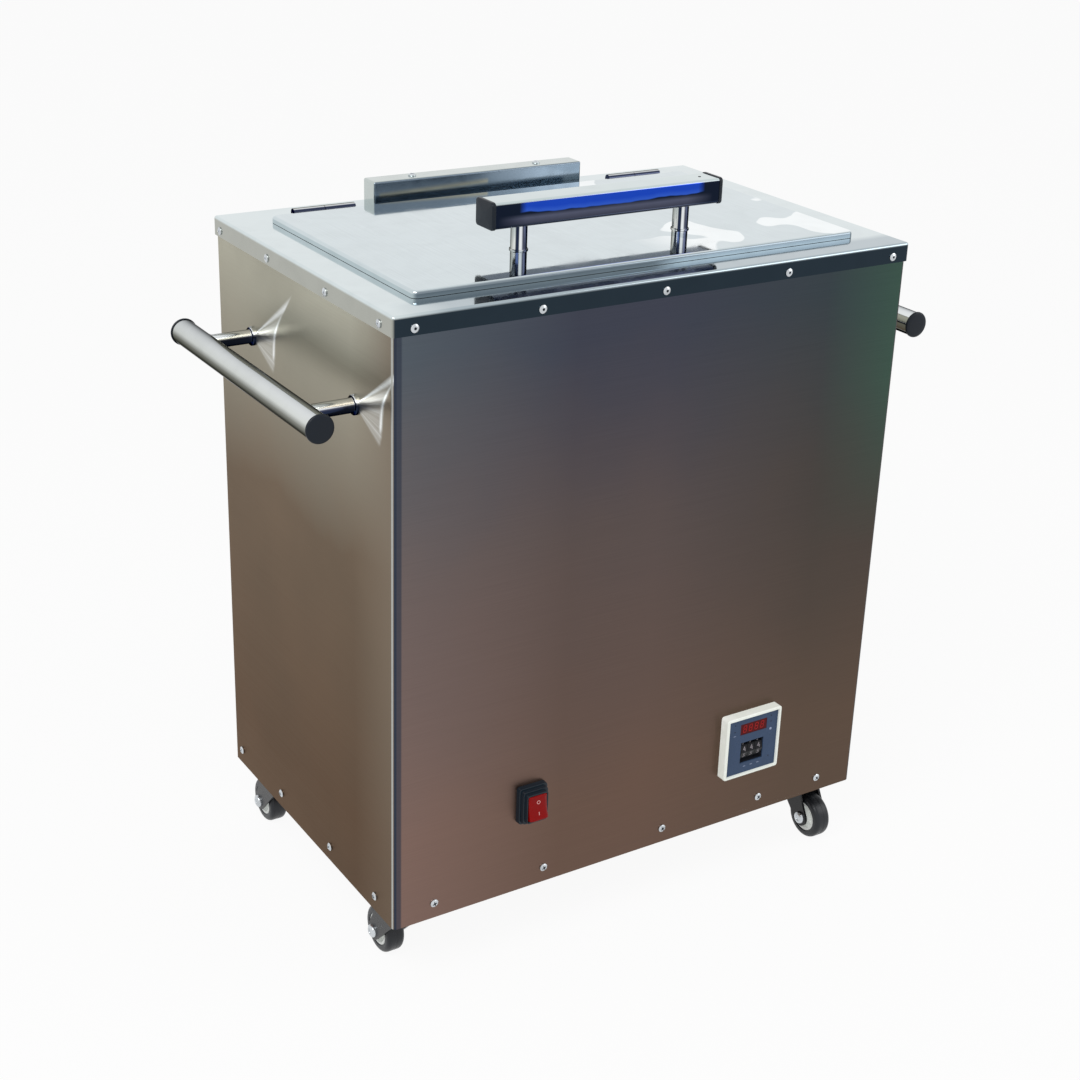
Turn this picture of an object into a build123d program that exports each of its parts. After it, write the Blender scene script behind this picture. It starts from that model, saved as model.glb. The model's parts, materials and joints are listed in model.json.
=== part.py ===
from build123d import *
import math
import os

os.makedirs("parts", exist_ok=True)

# Hot pack heater: a stainless water bath in a sheet cabinet on four swivel casters, with a hinged lid.
# Millimetres. X runs along the front, Y from the front to the back, Z up from the floor.
# The origin is on the floor, under the middle of the overall width and depth.

# ---- cabinet ---------------------------------------------------------------------------------------
cabinet_width = 580.0
cabinet_depth = 384.0
cabinet_top = 696.0        # top face of the deck above the floor
panel_foot = 76.0          # lower edge of the wrap panel above the floor
skin = 1.0                 # sheet of the wrap, back, tank and lid
deck_gauge = 1.2
sheet_gap = 0.1            # between nested sheets
panel_bend = 5.0           # outer radius of the wrap's front corners
return_flange = 15.0       # the wrap's rear edges, turned in behind the back panel
deck_flange = 19.0
deck_corner = 3.0
deck_bend = 2.5

# ---- screws ----------------------------------------------------------------------------------------
screw_shank = 2.0          # radius
screw_play = 0.1           # radial, in every screw hole
screw_grip = 8.0           # length under the head
button_radius = 4.0
button_height = 2.2
socket_radius = 1.4
socket_depth = 1.2
head_chamfer = 0.9
pan_radius = 4.2
pan_height = 2.6
deck_screw_drop = 12.5     # below the deck's top face
foot_screw_rise = 17.0     # above the wrap's lower edge
# Each row has its end screws' distances from the cabinet's sides, and between them the distances of the
# others from the cabinet's middle.
deck_screw_x = (21.0, (-141.0, -7.0, 137.0), 21.0)
deck_screw_y = (25.0, (-62.0, 64.0), 16.0)
foot_screw_x = (46.0, (-118.0, 29.0, 157.0), 51.0)
foot_screw_y = (40.0, (-52.0, 66.0), 22.0)
back_screw_inset = 9.0     # from the back panel's side edges
back_screw_count = 4

# ---- base tray and casters -------------------------------------------------------------------------
caster_height = 75.0       # floor to the tray's underside
tray_gauge = 1.5
tray_flange = 26.0
tray_bend = 2.0
wheel_radius = 25.0
wheel_width = 20.0
wheel_core_radius = 17.0
hub_radius = 8.0
hub_width = 23.0
wheel_web = 13.0
tyre_shoulder = 5.0        # radius of the tread's edges
axle_radius = 4.0
axle_head_radius = 7.0
axle_head = 3.5
axle_nut_flats = 13.0
bearing_play = 0.08        # radial, of the wheel on its axle and of the fork on its kingpin
fork_inner = 24.0
fork_gauge = 2.5
fork_eye = 10.0            # radius of the leg's lower end
fork_crown_top = 57.0
fork_crown_gauge = 3.0
fork_crown_length = 36.0
caster_trail = 24.0
race_radius = 17.0
race_height = 6.5
race_gap = 0.4
race_flare = 2.0           # upper half beyond the lower, at its foot
race_neck = 3.0            # upper half inside the lower, at its top
kingpin_radius = 4.0
rivet_radius = 7.0
rivet_height = 3.0
caster_plate_size = 50.0
caster_plate_gauge = 2.5
caster_plate_corner = 4.0
caster_bolt_spacing = 38.0
caster_bolt_radius = 3.0
caster_bolt_head = 4.0
caster_bolt_flats = 10.0
caster_bolt_length = 11.0
caster_nut_height = 5.0
caster_inset_x = 31.0      # swivel axis from the cabinet's side
caster_inset_y = 51.0      # swivel axis from the cabinet's front and back

# ---- tank and what stands in it --------------------------------------------------------------------
mouth_width = 460.0        # opening in the deck
mouth_front = 57.0         # deck in front of the opening
mouth_rear = 67.0          # deck behind it
mouth_corner = 8.0
mouth_lip = 8.0            # the opening's edge, turned down
mouth_round = 0.96         # radius along that edge
tank_depth = 430.0         # deck top to the tank's floor
tank_rim = 14.0
tank_bend = 8.0
insulation_thickness = 16.0
insulation_play = 2.0      # round the drain pipe
element_radius = 4.0
element_rise = 25.0        # element's axis above the tank's floor
element_margin = 45.0      # its runs end this far inside the mouth's sides
element_pitch = 40.0
element_turn = 15.0
element_tail = 24.0        # below the tank's floor
element_nut_flats = 17.0
element_nut_height = 6.0
fit_play = 0.1             # radial, where a tube passes through a sheet
probe_radius = 3.0
probe_rise = 38.0
probe_tail = 22.0
probe_margin_x = 25.0      # inside the mouth's right side
probe_margin_y = 30.0      # inside its front
shelf_rise = 46.0
shelf_gauge = 1.5
shelf_play = 4.0           # to the tank's walls
shelf_slot_length = 80.0
shelf_slot_width = 14.0
shelf_slot_pitch = 36.0
shelf_slots = 11           # in each of two rows
shelf_foot_flange = 14.0   # under the plate
rack_slots = 6
rack_margin = 26.0         # mouth's sides to the outer dividers
rack_play = 12.0           # mouth's front and rear to the dividers
rack_headroom = 28.0       # lifting bails to the closed lid
rack_wire = 3.0            # radius of the loops
rack_turn = 5.0            # bend of the loops, at the wire's centre
bail_wire = 2.6
bail_turn = 14.0
divider_wire = 2.0
divider_turn = 10.0
divider_rod = 1.6          # the uprights inside a divider's loop
rack_bail_rise = 42.0
rack_bail_span = 110.0
weld_gap = 0.2

# ---- lid -------------------------------------------------------------------------------------------
lid_lap_x = 20.0           # lid beyond the mouth at the sides
lid_lap_y = 19.0           # and at the front and rear
lid_height = 7.0           # lid's top face above the deck
lid_gap = 0.3              # under the closed lid's rim
lid_corner = 7.0
lid_bend = 3.0
lid_plug_drop = 14.0       # inner pan's floor below the deck's top face
lid_plug_play = 6.0        # inner pan to the mouth's edge
lid_handle_length = 264.0
lid_handle_depth = 30.0
lid_handle_height = 25.0
lid_handle_clear = 25.0    # lid's top face to the bar's underside
lid_handle_y = 120.6       # bar's middle, from the cabinet's front
lid_handle_wall = 1.5
lid_handle_bend = 3.0
lid_post_radius = 8.0
lid_post_spacing = 187.0
stud_radius = 3.0
stud_length = 4.0
cap_thickness = 4.0
cap_lip = 0.7              # the cap's rim stands out of the tube by this
cap_plug = 12.0
cap_play = 0.2
cap_chamfer = 1.0

# ---- hinges and stop bar ---------------------------------------------------------------------------
hinge_radius = 4.5
hinge_pin_radius = 2.5
hinge_play = 0.05
hinge_length = 68.0
hinge_split = 0.5          # between the two knuckles
hinge_rise = 5.0           # axis above the deck's top face
hinge_offset = 5.5         # axis behind the lid's rear face
hinge_inset = 61.0         # hinge's middle, from the lid's side
hinge_weld = 4.0           # thickness of the bead under each deck knuckle
hinge_weld_inset = 2.0     # bead inside the knuckle's ends
hinge_end = 3.0            # closed outer end of each knuckle
hinge_leaf = 2.5           # tongue from the lid to its knuckle
hinge_leaf_drop = 3.5      # its underside, below the axis
stop_bar_length = 253.0
stop_bar_size = 24.5
stop_bar_gauge = 1.5
stop_bar_bend = 2.0
stop_bar_setback = 11.0    # front face behind the hinge axis
stop_screw_spacing = 152.0
stop_screw_grip = 6.0      # below the deck's top face

# ---- side handles ----------------------------------------------------------------------------------
grip_radius = 12.7
grip_wall = 1.5
grip_length = 312.0
grip_reach = 53.0          # tube's axis from the cabinet's side
grip_drop = 102.0          # tube's axis below the deck's top face
grip_post_radius = 7.0
grip_post_spacing = 224.0
grip_collar_radius = 9.5
grip_collar = 3.0
grip_stud_radius = 4.0
grip_stud_length = 11.0
grip_nut_flats = 13.0
grip_nut_height = 6.5
grip_washer_radius = 14.0
grip_washer_gauge = 2.0
grip_cap_thickness = 3.0
grip_cap_lip = 1.0
grip_cap_plug = 14.0
grip_cap_round = 1.6

# ---- controller ------------------------------------------------------------------------------------
controller_x = 425.0       # from the cabinet's left side
controller_sink = 4.5      # centre below the middle of the lower bay
controller_width = 72.0
controller_height = 73.0
controller_proud = 10.0
controller_corner = 3.0
controller_chamfer = 1.0
controller_rim = 3.0
controller_recess = 2.5    # face behind the bezel's front edge
controller_case = 66.0     # square body behind the panel
controller_case_depth = 70.0
face_gauge = 1.5
display_width = 35.0
display_height = 13.0
display_shift_x = 1.0
display_shift_z = 19.5
display_depth = 3.0
display_ledge = 2.0        # that the window rests on, all round
display_sink = 0.4         # window behind the face
window_width = 30.0
window_height = 25.0
window_shift_x = 0.5
window_shift_z = -9.0
wheel_count = 3
dial_radius = 12.2         # setting wheel, to its flats
dial_width = 9.0
dial_numbers = 10
dial_pin = 1.5             # radius of the cross pin
dial_proud = 0.4           # the wheels stand out of the face by this
dial_clear = 0.5
dial_gap = 0.5             # between the wheels

# ---- switch ----------------------------------------------------------------------------------------
switch_x = 154.0
switch_lift = 1.0          # centre above the middle of the lower bay
switch_width = 33.0
switch_height = 41.0
switch_corner = 2.0
switch_steps = ((0.0, 5.3), (2.0, 4.5), (4.0, 4.0))    # inset of each step, and its height
switch_draft = 4.0         # degrees, on each step's sides
switch_body_width = 28.0
switch_body_height = 34.0
switch_body_depth = 26.0
rocker_width = 20.6
rocker_height = 27.0
rocker_play = 0.5
rocker_stand = 2.0         # its middle, in front of the housing
rocker_bulge = 1.2         # its ends, in front of its middle
rocker_end = 1.0           # its front corners, in from its height
rocker_back = 9.0          # housing's front to the rocker's back
rocker_heel = 4.0          # its back corners, in from its height
rocker_tilt = 9.0          # degrees, each way
rocker_pin = 1.5
rocker_pin_length = 2.4
spade_size = (0.8, 8.0, 6.3)
spade_pitch = (12.0, 14.0)

# ---- drain -----------------------------------------------------------------------------------------
drain_margin = 60.0        # vertical pipe inside the mouth's left side
drain_setback = 88.0       # vertical pipe in front of the back face
drain_radius = 8.0
drain_wall = 1.2
drain_fall = 62.0          # tank's floor to the horizontal run's axis
drain_turn = 26.0
drain_stub = 6.0           # pipe beyond the back face
valve_radius = 12.0
valve_length = 26.0
valve_bore = 4.0
valve_wall = 1.0           # between the bore and the foot of the stem
valve_socket = 4.0         # the pipe's end inside the valve
barb_radius = 6.5
barb_length = 18.0
valve_stem_radius = 3.0
valve_stem_rise = 8.0
valve_stem_collar = 6.0    # radius under and over the lever
valve_nut_height = 3.0
lever_length = 44.0
lever_width = 12.0
lever_gauge = 2.0
lever_gap = 0.2            # to the collar below and the nut above
rear_reach = drain_stub - valve_socket + valve_length + barb_length

# ---- lower bay -------------------------------------------------------------------------------------
gland_x = 190.0
gland_rise = 60.0          # above the wrap's lower edge
gland_bore = 4.5
gland_radius = 9.0
gland_flats = 22.0
gland_nut = 6.0
gland_dome = 9.0
gland_lip = 2.5            # wall at the dome's mouth
gland_thread = 10.0
contactor_size = (54.0, 74.0, 78.0)
contactor_shoulder = 0.55  # height of its terminals, as a share
contactor_head = 0.6       # length of its raised middle, as a share
terminal_size = (72.0, 26.0, 22.0)
terminal_ways = 5
terminal_well = (7.0, 7.0, 8.0)
bay_kit_x = 0.0
bay_kit_y = 235.0
vent_length = 70.0
vent_width = 4.0
vent_rows = 6
vent_pitch = 14.0
vent_lift = 10.0           # rows' middle, above the middle between gland and drain

# ---- places worked out from the sizes above --------------------------------------------------------
switch_stand = sum(height for inset, height in switch_steps)
switch_proud = switch_stand - deck_gauge - sheet_gap
tilt = math.radians(rocker_tilt)
rocker_depth = rocker_back / 2 + rocker_stand + rocker_bulge
rocker_tip = rocker_depth * math.cos(tilt) + (rocker_height / 2 - rocker_end) * math.sin(tilt)
front_reach = switch_proud + rocker_tip - rocker_back / 2
y_front = -(cabinet_depth + rear_reach - front_reach) / 2
y_back = y_front + cabinet_depth
y_middle = y_front + cabinet_depth / 2
x_side = cabinet_width / 2
x_left = -x_side

wrap_x = x_side - deck_gauge - sheet_gap
wrap_front = y_front + deck_gauge + sheet_gap
wrap_back = y_back - deck_gauge - 2 * sheet_gap - skin
wrap_top = cabinet_top - deck_bend - sheet_gap
back_face = wrap_back + sheet_gap + skin

mouth_depth = cabinet_depth - mouth_front - mouth_rear
y_mouth = y_front + mouth_front + mouth_depth / 2
tank_wall_gap = deck_gauge + sheet_gap
tank_inner_x = mouth_width / 2 + tank_wall_gap
tank_inner_y = mouth_depth / 2 + tank_wall_gap
tank_top = cabinet_top - deck_gauge - sheet_gap
tank_floor = cabinet_top - tank_depth
shelf_top = tank_floor + shelf_rise
element_reach = mouth_width / 2 - element_margin
probe_place = (mouth_width / 2 - probe_margin_x, y_mouth - mouth_depth / 2 + probe_margin_y)
rack_height = cabinet_top - lid_plug_drop - rack_headroom - rack_bail_rise - shelf_top
rack_pitch = (mouth_width - 2 * rack_margin) / rack_slots
rack_depth = mouth_depth - 2 * rack_play

lid_width = mouth_width + 2 * lid_lap_x
lid_depth = mouth_depth + 2 * lid_lap_y
lid_rear = y_mouth + lid_depth / 2
lid_seat = cabinet_top + lid_gap
lid_top = cabinet_top + lid_height
y_hinge = lid_rear + hinge_offset
z_hinge = cabinet_top + hinge_rise
hinge_x = lid_width / 2 - hinge_inset
y_handle = y_front + lid_handle_y
bar_bottom = lid_top + lid_handle_clear
stop_front = y_hinge + stop_bar_setback
stop_middle = stop_front + stop_bar_size / 2

x_grip = x_side + grip_reach
z_grip = cabinet_top - grip_drop
y_grip = y_mouth

x_controller = x_left + controller_x
z_bay_middle = (caster_height + tray_flange + tank_floor - skin - insulation_thickness) / 2
z_controller = z_bay_middle - controller_sink
face_front = y_front - controller_proud + controller_recess
x_switch = x_left + switch_x
z_switch = z_bay_middle + switch_lift
y_rocker = y_front - switch_proud + rocker_back / 2
drain_x = -(mouth_width / 2 - drain_margin)
z_drain = tank_floor - drain_fall
y_drain = y_back - drain_setback
z_gland = panel_foot + gland_rise
tray_floor = caster_height + tray_gauge

hole_radius = screw_shank + screw_play


def finish(piece, name):
    """Label a finished piece and write it to its own file."""
    piece.part.label = name
    export_step(piece.part, f"parts/{name}.step")


def seat(x, y, z, outward):
    """A place on a surface, with its local Z pointing outward along a row axis."""
    side = (0, 0, 1) if abs(outward[2]) < 0.5 else (1, 0, 0)
    return Plane(origin=(x, y, z), x_dir=side, z_dir=outward).location


def screw_row(low, high, row):
    """Places of a row's screws along a side that runs from low to high."""
    first, inner, last = row
    return [low + first, *[(low + high) / 2 + step for step in inner], high - last]


def screw_ring(row_x, row_y, side, front, back, z):
    """Seats on all four sides of the cabinet, at one height."""
    along_front = screw_row(-x_side, x_side, row_x)
    along_side = screw_row(y_front, y_back, row_y)
    return (
        [seat(x, front, z, (0, -1, 0)) for x in along_front]
        + [seat(x, back, z, (0, 1, 0)) for x in along_front]
        + [seat(-side, y, z, (-1, 0, 0)) for y in along_side]
        + [seat(side, y, z, (1, 0, 0)) for y in along_side]
    )


def deck_screw_seats():
    """Screws on the deck's four flanges."""
    z = cabinet_top - deck_screw_drop
    return screw_ring(deck_screw_x, deck_screw_y, x_side, y_front, y_back, z)


def foot_screw_seats():
    """Screws along the foot, through the panels into the base tray."""
    z = panel_foot + foot_screw_rise
    return screw_ring(foot_screw_x, foot_screw_y, wrap_x, wrap_front, back_face, z)


def back_screw_seats():
    """Screws down both sides of the back panel, into the wrap's return flanges."""
    low = panel_foot + 2 * foot_screw_rise
    high = wrap_top - 2 * deck_flange
    step = (high - low) / (back_screw_count - 1)
    reach = wrap_x - back_screw_inset
    rows = [low + step * row for row in range(back_screw_count)]
    return [seat(side * reach, back_face, z, (0, 1, 0)) for side in (-1, 1) for z in rows]


def caster_places():
    """Swivel axis of each caster, by name, and the way it trails in the photograph."""
    x = x_side - caster_inset_x
    near = y_front + caster_inset_y
    far = y_back - caster_inset_y
    return {
        "front_left": (-x, near, 1),
        "front_right": (x, near, -1),
        "rear_left": (-x, far, 1),
        "rear_right": (x, far, 1),
    }


def grip_post_seats():
    """Feet of the side handles' posts on the wrap."""
    half = grip_post_spacing / 2
    return [
        seat(side * wrap_x, y_grip + along, z_grip, (side, 0, 0))
        for side in (-1, 1)
        for along in (-half, half)
    ]


# ---- screw forms -----------------------------------------------------------------------------------
with BuildPart() as button_screw:
    Cylinder(button_radius, button_height, align=(Align.CENTER, Align.CENTER, Align.MIN))
    chamfer(button_screw.edges().group_by(Axis.Z)[-1], head_chamfer)
    with Locations((0, 0, button_height)):
        Cylinder(
            socket_radius, socket_depth, align=(Align.CENTER, Align.CENTER, Align.MAX), mode=Mode.SUBTRACT
        )
    Cylinder(screw_shank, screw_grip, align=(Align.CENTER, Align.CENTER, Align.MAX))

with BuildPart() as pan_screw:
    Cylinder(pan_radius, pan_height, align=(Align.CENTER, Align.CENTER, Align.MIN))
    chamfer(pan_screw.edges().group_by(Axis.Z)[-1], head_chamfer)
    Cylinder(screw_shank, screw_grip, align=(Align.CENTER, Align.CENTER, Align.MAX))


def screw_group(form, seats):
    """Copies of one screw, as separate solids, at the given seats."""
    with BuildPart() as group:
        with Locations(*seats):
            add(form.part)
    return group


def cut_round(seats, radius, depth):
    """Cut a round hole inward from each seat, in the part being built."""
    with Locations(*seats):
        Cylinder(radius, 2 * depth, mode=Mode.SUBTRACT)


# ---- wrap panel: front and both sides ---------------------------------------------------------------
with BuildPart() as wrap_panel:
    with BuildSketch(Plane.XY.offset(panel_foot)) as wrap_profile:
        with Locations((0, (wrap_front + wrap_back) / 2)):
            Rectangle(2 * wrap_x, wrap_back - wrap_front)
        fillet(wrap_profile.vertices(), panel_bend)
        offset(amount=-skin, mode=Mode.SUBTRACT)
        with Locations((0, wrap_back)):
            Rectangle(2 * (wrap_x - return_flange), 4 * skin, mode=Mode.SUBTRACT)
    extrude(amount=wrap_top - panel_foot)
    cut_round(deck_screw_seats(), hole_radius, screw_grip)
    cut_round(foot_screw_seats(), hole_radius, screw_grip)
    cut_round(back_screw_seats(), hole_radius, screw_grip)
    cut_round(grip_post_seats(), grip_stud_radius + screw_play, grip_stud_length)
    with Locations((x_controller, wrap_front, z_controller)):
        Box(controller_case + 2 * fit_play, 4 * skin, controller_case + 2 * fit_play, mode=Mode.SUBTRACT)
    with Locations((x_switch, wrap_front, z_switch)):
        Box(switch_body_width + 2 * fit_play, 4 * skin, switch_body_height + 2 * fit_play, mode=Mode.SUBTRACT)
finish(wrap_panel, "wrap_panel")

# ---- back panel -------------------------------------------------------------------------------------
with BuildPart() as back_panel:
    with BuildSketch(Plane.XZ.offset(-back_face)):
        with Locations((0, (panel_foot + wrap_top) / 2)):
            Rectangle(2 * (wrap_x - deck_corner), wrap_top - panel_foot)
        with Locations((drain_x, z_drain)):
            Circle(drain_radius + fit_play, mode=Mode.SUBTRACT)
        with Locations((gland_x, z_gland)):
            Circle(gland_radius + fit_play, mode=Mode.SUBTRACT)
        with Locations((0, (z_gland + z_drain) / 2 + vent_lift)):
            with GridLocations(2 * vent_length, vent_pitch, 2, vent_rows):
                SlotOverall(vent_length, vent_width, mode=Mode.SUBTRACT)
    extrude(amount=skin)
    cut_round(deck_screw_seats(), hole_radius, screw_grip)
    cut_round(foot_screw_seats(), hole_radius, screw_grip)
    cut_round(back_screw_seats(), hole_radius, screw_grip)
finish(back_panel, "back_panel")

# ---- deck: top cover with a flange all round and the tank's mouth -----------------------------------
with BuildPart() as deck:
    with BuildSketch(Plane.XY.offset(cabinet_top - deck_flange)):
        with Locations((0, y_middle)):
            RectangleRounded(cabinet_width, cabinet_depth, deck_corner)
    extrude(amount=deck_flange)
    fillet(deck.edges().group_by(Axis.Z)[-1], deck_bend)
    offset(amount=-deck_gauge, openings=deck.faces().sort_by(Axis.Z)[0])
    with BuildSketch(Plane.XY.offset(cabinet_top)):
        with Locations((0, y_mouth)):
            RectangleRounded(
                mouth_width + 2 * deck_gauge, mouth_depth + 2 * deck_gauge, mouth_corner + deck_gauge
            )
    extrude(amount=-mouth_lip)
    with BuildSketch(Plane.XY.offset(cabinet_top)):
        with Locations((0, y_mouth)):
            RectangleRounded(mouth_width, mouth_depth, mouth_corner)
    extrude(amount=-2 * mouth_lip, mode=Mode.SUBTRACT)
    fillet(deck.faces().sort_by(Axis.Z)[-1].inner_wires()[0].edges(), mouth_round)
    cut_round(deck_screw_seats(), hole_radius, screw_grip)
    with Locations((0, stop_middle, cabinet_top)):
        with GridLocations(stop_screw_spacing, 1, 2, 1):
            Cylinder(hole_radius, 4 * deck_gauge, mode=Mode.SUBTRACT)
finish(deck, "deck")

finish(screw_group(button_screw, deck_screw_seats()), "deck_screws")
finish(screw_group(pan_screw, foot_screw_seats() + back_screw_seats()), "panel_screws")

# ---- base tray: floor of the lower bay, carries the casters ------------------------------------------
tray_x = wrap_x - skin - sheet_gap
tray_front = wrap_front + skin + sheet_gap
tray_back = wrap_back - skin - sheet_gap
with BuildPart() as base_tray:
    with BuildSketch(Plane.XY.offset(caster_height)):
        with Locations((0, (tray_front + tray_back) / 2)):
            RectangleRounded(2 * tray_x, tray_back - tray_front, panel_bend - skin - sheet_gap)
    extrude(amount=tray_flange)
    fillet(base_tray.edges().group_by(Axis.Z)[0], tray_bend)
    offset(amount=-tray_gauge, openings=base_tray.faces().sort_by(Axis.Z)[-1])
    cut_round(foot_screw_seats(), hole_radius, screw_grip)
    for x, y, trail in caster_places().values():
        with Locations((x, y, caster_height)):
            with GridLocations(caster_bolt_spacing, caster_bolt_spacing, 2, 2):
                Cylinder(caster_bolt_radius + screw_play, 4 * tray_gauge, mode=Mode.SUBTRACT)
finish(base_tray, "base_tray")

# ---- tank, and the flange welded round its top ---------------------------------------------------------
element_ends = [(-element_reach, y_mouth + side * 1.5 * element_pitch) for side in (-1, 1)]
with BuildPart() as tank:
    with BuildSketch(Plane.XY.offset(tank_floor - skin)):
        with Locations((0, y_mouth)):
            RectangleRounded(
                2 * (tank_inner_x + skin), 2 * (tank_inner_y + skin), mouth_corner + tank_wall_gap + skin
            )
    extrude(amount=tank_top - tank_floor + skin)
    fillet(tank.edges().group_by(Axis.Z)[0], tank_bend)
    offset(amount=-skin, openings=tank.faces().sort_by(Axis.Z)[-1])
    with Locations(*[(x, y, tank_floor) for x, y in element_ends]):
        Cylinder(element_radius + fit_play, 4 * skin, mode=Mode.SUBTRACT)
    with Locations((*probe_place, tank_floor)):
        Cylinder(probe_radius + fit_play, 4 * skin, mode=Mode.SUBTRACT)
    with Locations((drain_x, y_drain, tank_floor)):
        Cylinder(drain_radius - drain_wall, 4 * skin, mode=Mode.SUBTRACT)
finish(tank, "tank")

with BuildPart() as tank_flange:
    with BuildSketch(Plane.XY.offset(tank_top)):
        with Locations((0, y_mouth)):
            RectangleRounded(
                2 * (tank_inner_x + tank_rim), 2 * (tank_inner_y + tank_rim), mouth_corner + tank_rim
            )
            RectangleRounded(
                2 * (tank_inner_x + skin + sheet_gap),
                2 * (tank_inner_y + skin + sheet_gap),
                mouth_corner + tank_wall_gap + skin + sheet_gap,
                mode=Mode.SUBTRACT,
            )
    extrude(amount=-skin)
finish(tank_flange, "tank_flange")

with BuildPart() as tank_insulation:
    with BuildSketch(Plane.XY.offset(tank_floor - skin - insulation_thickness)):
        with Locations((0, y_mouth)):
            RectangleRounded(
                2 * (tank_inner_x + skin + insulation_thickness),
                2 * (tank_inner_y + skin + insulation_thickness),
                mouth_corner + insulation_thickness,
            )
    extrude(amount=tank_top - skin - sheet_gap - (tank_floor - skin - insulation_thickness))
    with BuildSketch(Plane.XY.offset(tank_floor - skin - sheet_gap)):
        with Locations((0, y_mouth)):
            RectangleRounded(
                2 * (tank_inner_x + skin + sheet_gap), 2 * (tank_inner_y + skin + sheet_gap), mouth_corner
            )
    extrude(amount=tank_depth, mode=Mode.SUBTRACT)
    with Locations(*[(x, y, tank_floor) for x, y in element_ends]):
        Cylinder(element_nut_flats, 4 * insulation_thickness, mode=Mode.SUBTRACT)
    with Locations((*probe_place, tank_floor)):
        Cylinder(element_nut_flats, 4 * insulation_thickness, mode=Mode.SUBTRACT)
    with Locations((drain_x, y_drain, tank_floor)):
        Cylinder(drain_radius + insulation_play, 4 * insulation_thickness, mode=Mode.SUBTRACT)
finish(tank_insulation, "tank_insulation")

# ---- heating element: one bent tube, four runs across the tank's floor -------------------------------
z_element = tank_floor + element_rise
near_y, far_y = (y for x, y in element_ends)
inner_near = y_mouth - element_pitch / 2
inner_far = y_mouth + element_pitch / 2
inner_end = -element_reach + element_pitch
with BuildPart() as heating_element:
    with BuildLine() as element_path:
        FilletPolyline(
            (-element_reach, near_y, tank_floor - element_tail),
            (-element_reach, near_y, z_element),
            (element_reach, near_y, z_element),
            (element_reach, inner_near, z_element),
            (inner_end, inner_near, z_element),
            (inner_end, inner_far, z_element),
            (element_reach, inner_far, z_element),
            (element_reach, far_y, z_element),
            (-element_reach, far_y, z_element),
            (-element_reach, far_y, tank_floor - element_tail),
            radius=element_turn,
        )
    with BuildSketch(Plane(element_path.wires()[0] @ 0, z_dir=(0, 0, 1))):
        Circle(element_radius)
    sweep()
finish(heating_element, "heating_element")

with BuildPart() as element_nuts:
    with BuildSketch(Plane.XY.offset(tank_floor - skin)):
        with Locations(*element_ends):
            RegularPolygon(element_nut_flats / 2, 6, major_radius=False)
            Circle(element_radius + fit_play, mode=Mode.SUBTRACT)
    extrude(amount=-element_nut_height)
finish(element_nuts, "element_nuts")

with BuildPart() as temperature_probe:
    with Locations((*probe_place, tank_floor - probe_tail)):
        Cylinder(probe_radius, probe_tail + probe_rise, align=(Align.CENTER, Align.CENTER, Align.MIN))
    with BuildSketch(Plane.XY.offset(tank_floor - skin)):
        with Locations(probe_place):
            RegularPolygon(element_nut_flats / 2, 6, major_radius=False)
    extrude(amount=-element_nut_height)
finish(temperature_probe, "temperature_probe")

# ---- guard shelf: slotted plate on two folded feet, over the element ----------------------------------
shelf_leg = tank_inner_x - shelf_play - tank_bend
shelf_y = tank_inner_y - shelf_play - tank_bend
with BuildPart() as guard_shelf:
    with BuildSketch(Plane.XY.offset(shelf_top)):
        with Locations((0, y_mouth)):
            RectangleRounded(2 * shelf_leg, 2 * shelf_y, shelf_slot_width / 2)
            with GridLocations(shelf_slot_pitch, shelf_slot_length + shelf_slot_width, shelf_slots, 2):
                SlotOverall(shelf_slot_length, shelf_slot_width, rotation=90, mode=Mode.SUBTRACT)
    extrude(amount=-shelf_gauge)
finish(guard_shelf, "guard_shelf")

foot_top = shelf_top - shelf_gauge - sheet_gap
with BuildPart() as shelf_feet:
    with BuildSketch(Plane.XZ.offset(-(y_mouth + shelf_y))):
        for side in (-1, 1):
            with Locations((side * (shelf_leg - shelf_gauge / 2), tank_floor)):
                Rectangle(shelf_gauge, foot_top - tank_floor, align=(Align.CENTER, Align.MIN))
            with Locations((side * (shelf_leg - shelf_foot_flange / 2), foot_top)):
                Rectangle(shelf_foot_flange, shelf_gauge, align=(Align.CENTER, Align.MAX))
    extrude(amount=2 * shelf_y)
finish(shelf_feet, "shelf_feet")

# ---- rack: dividers between which the packs stand, two loops round them, and two lifting bails ---------
rack_low = shelf_top + sheet_gap
rack_top = rack_low + rack_height
half_rack = rack_slots * rack_pitch / 2


def wire_loop(points, radius, turn):
    """A closed loop of round wire through the points, its corners rounded."""
    with BuildPart() as loop:
        with BuildLine() as path:
            FilletPolyline(*points, radius=turn, close=True)
        wire = path.wires()[0]
        with BuildSketch(Plane(wire @ 0.0, z_dir=wire % 0.0)):
            Circle(radius)
        sweep()
    return loop.part


loop_x = half_rack + divider_wire + rack_wire + weld_gap
loop_y = rack_depth / 2 + divider_wire + rack_wire + weld_gap
with BuildPart() as rack_loops:
    for level in (rack_low + rack_wire, rack_top - rack_wire):
        corners = [
            (loop_x, y_mouth - loop_y, level),
            (loop_x, y_mouth + loop_y, level),
            (-loop_x, y_mouth + loop_y, level),
            (-loop_x, y_mouth - loop_y, level),
        ]
        add(wire_loop(corners, rack_wire, rack_turn))
finish(rack_loops, "rack_loops")

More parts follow.
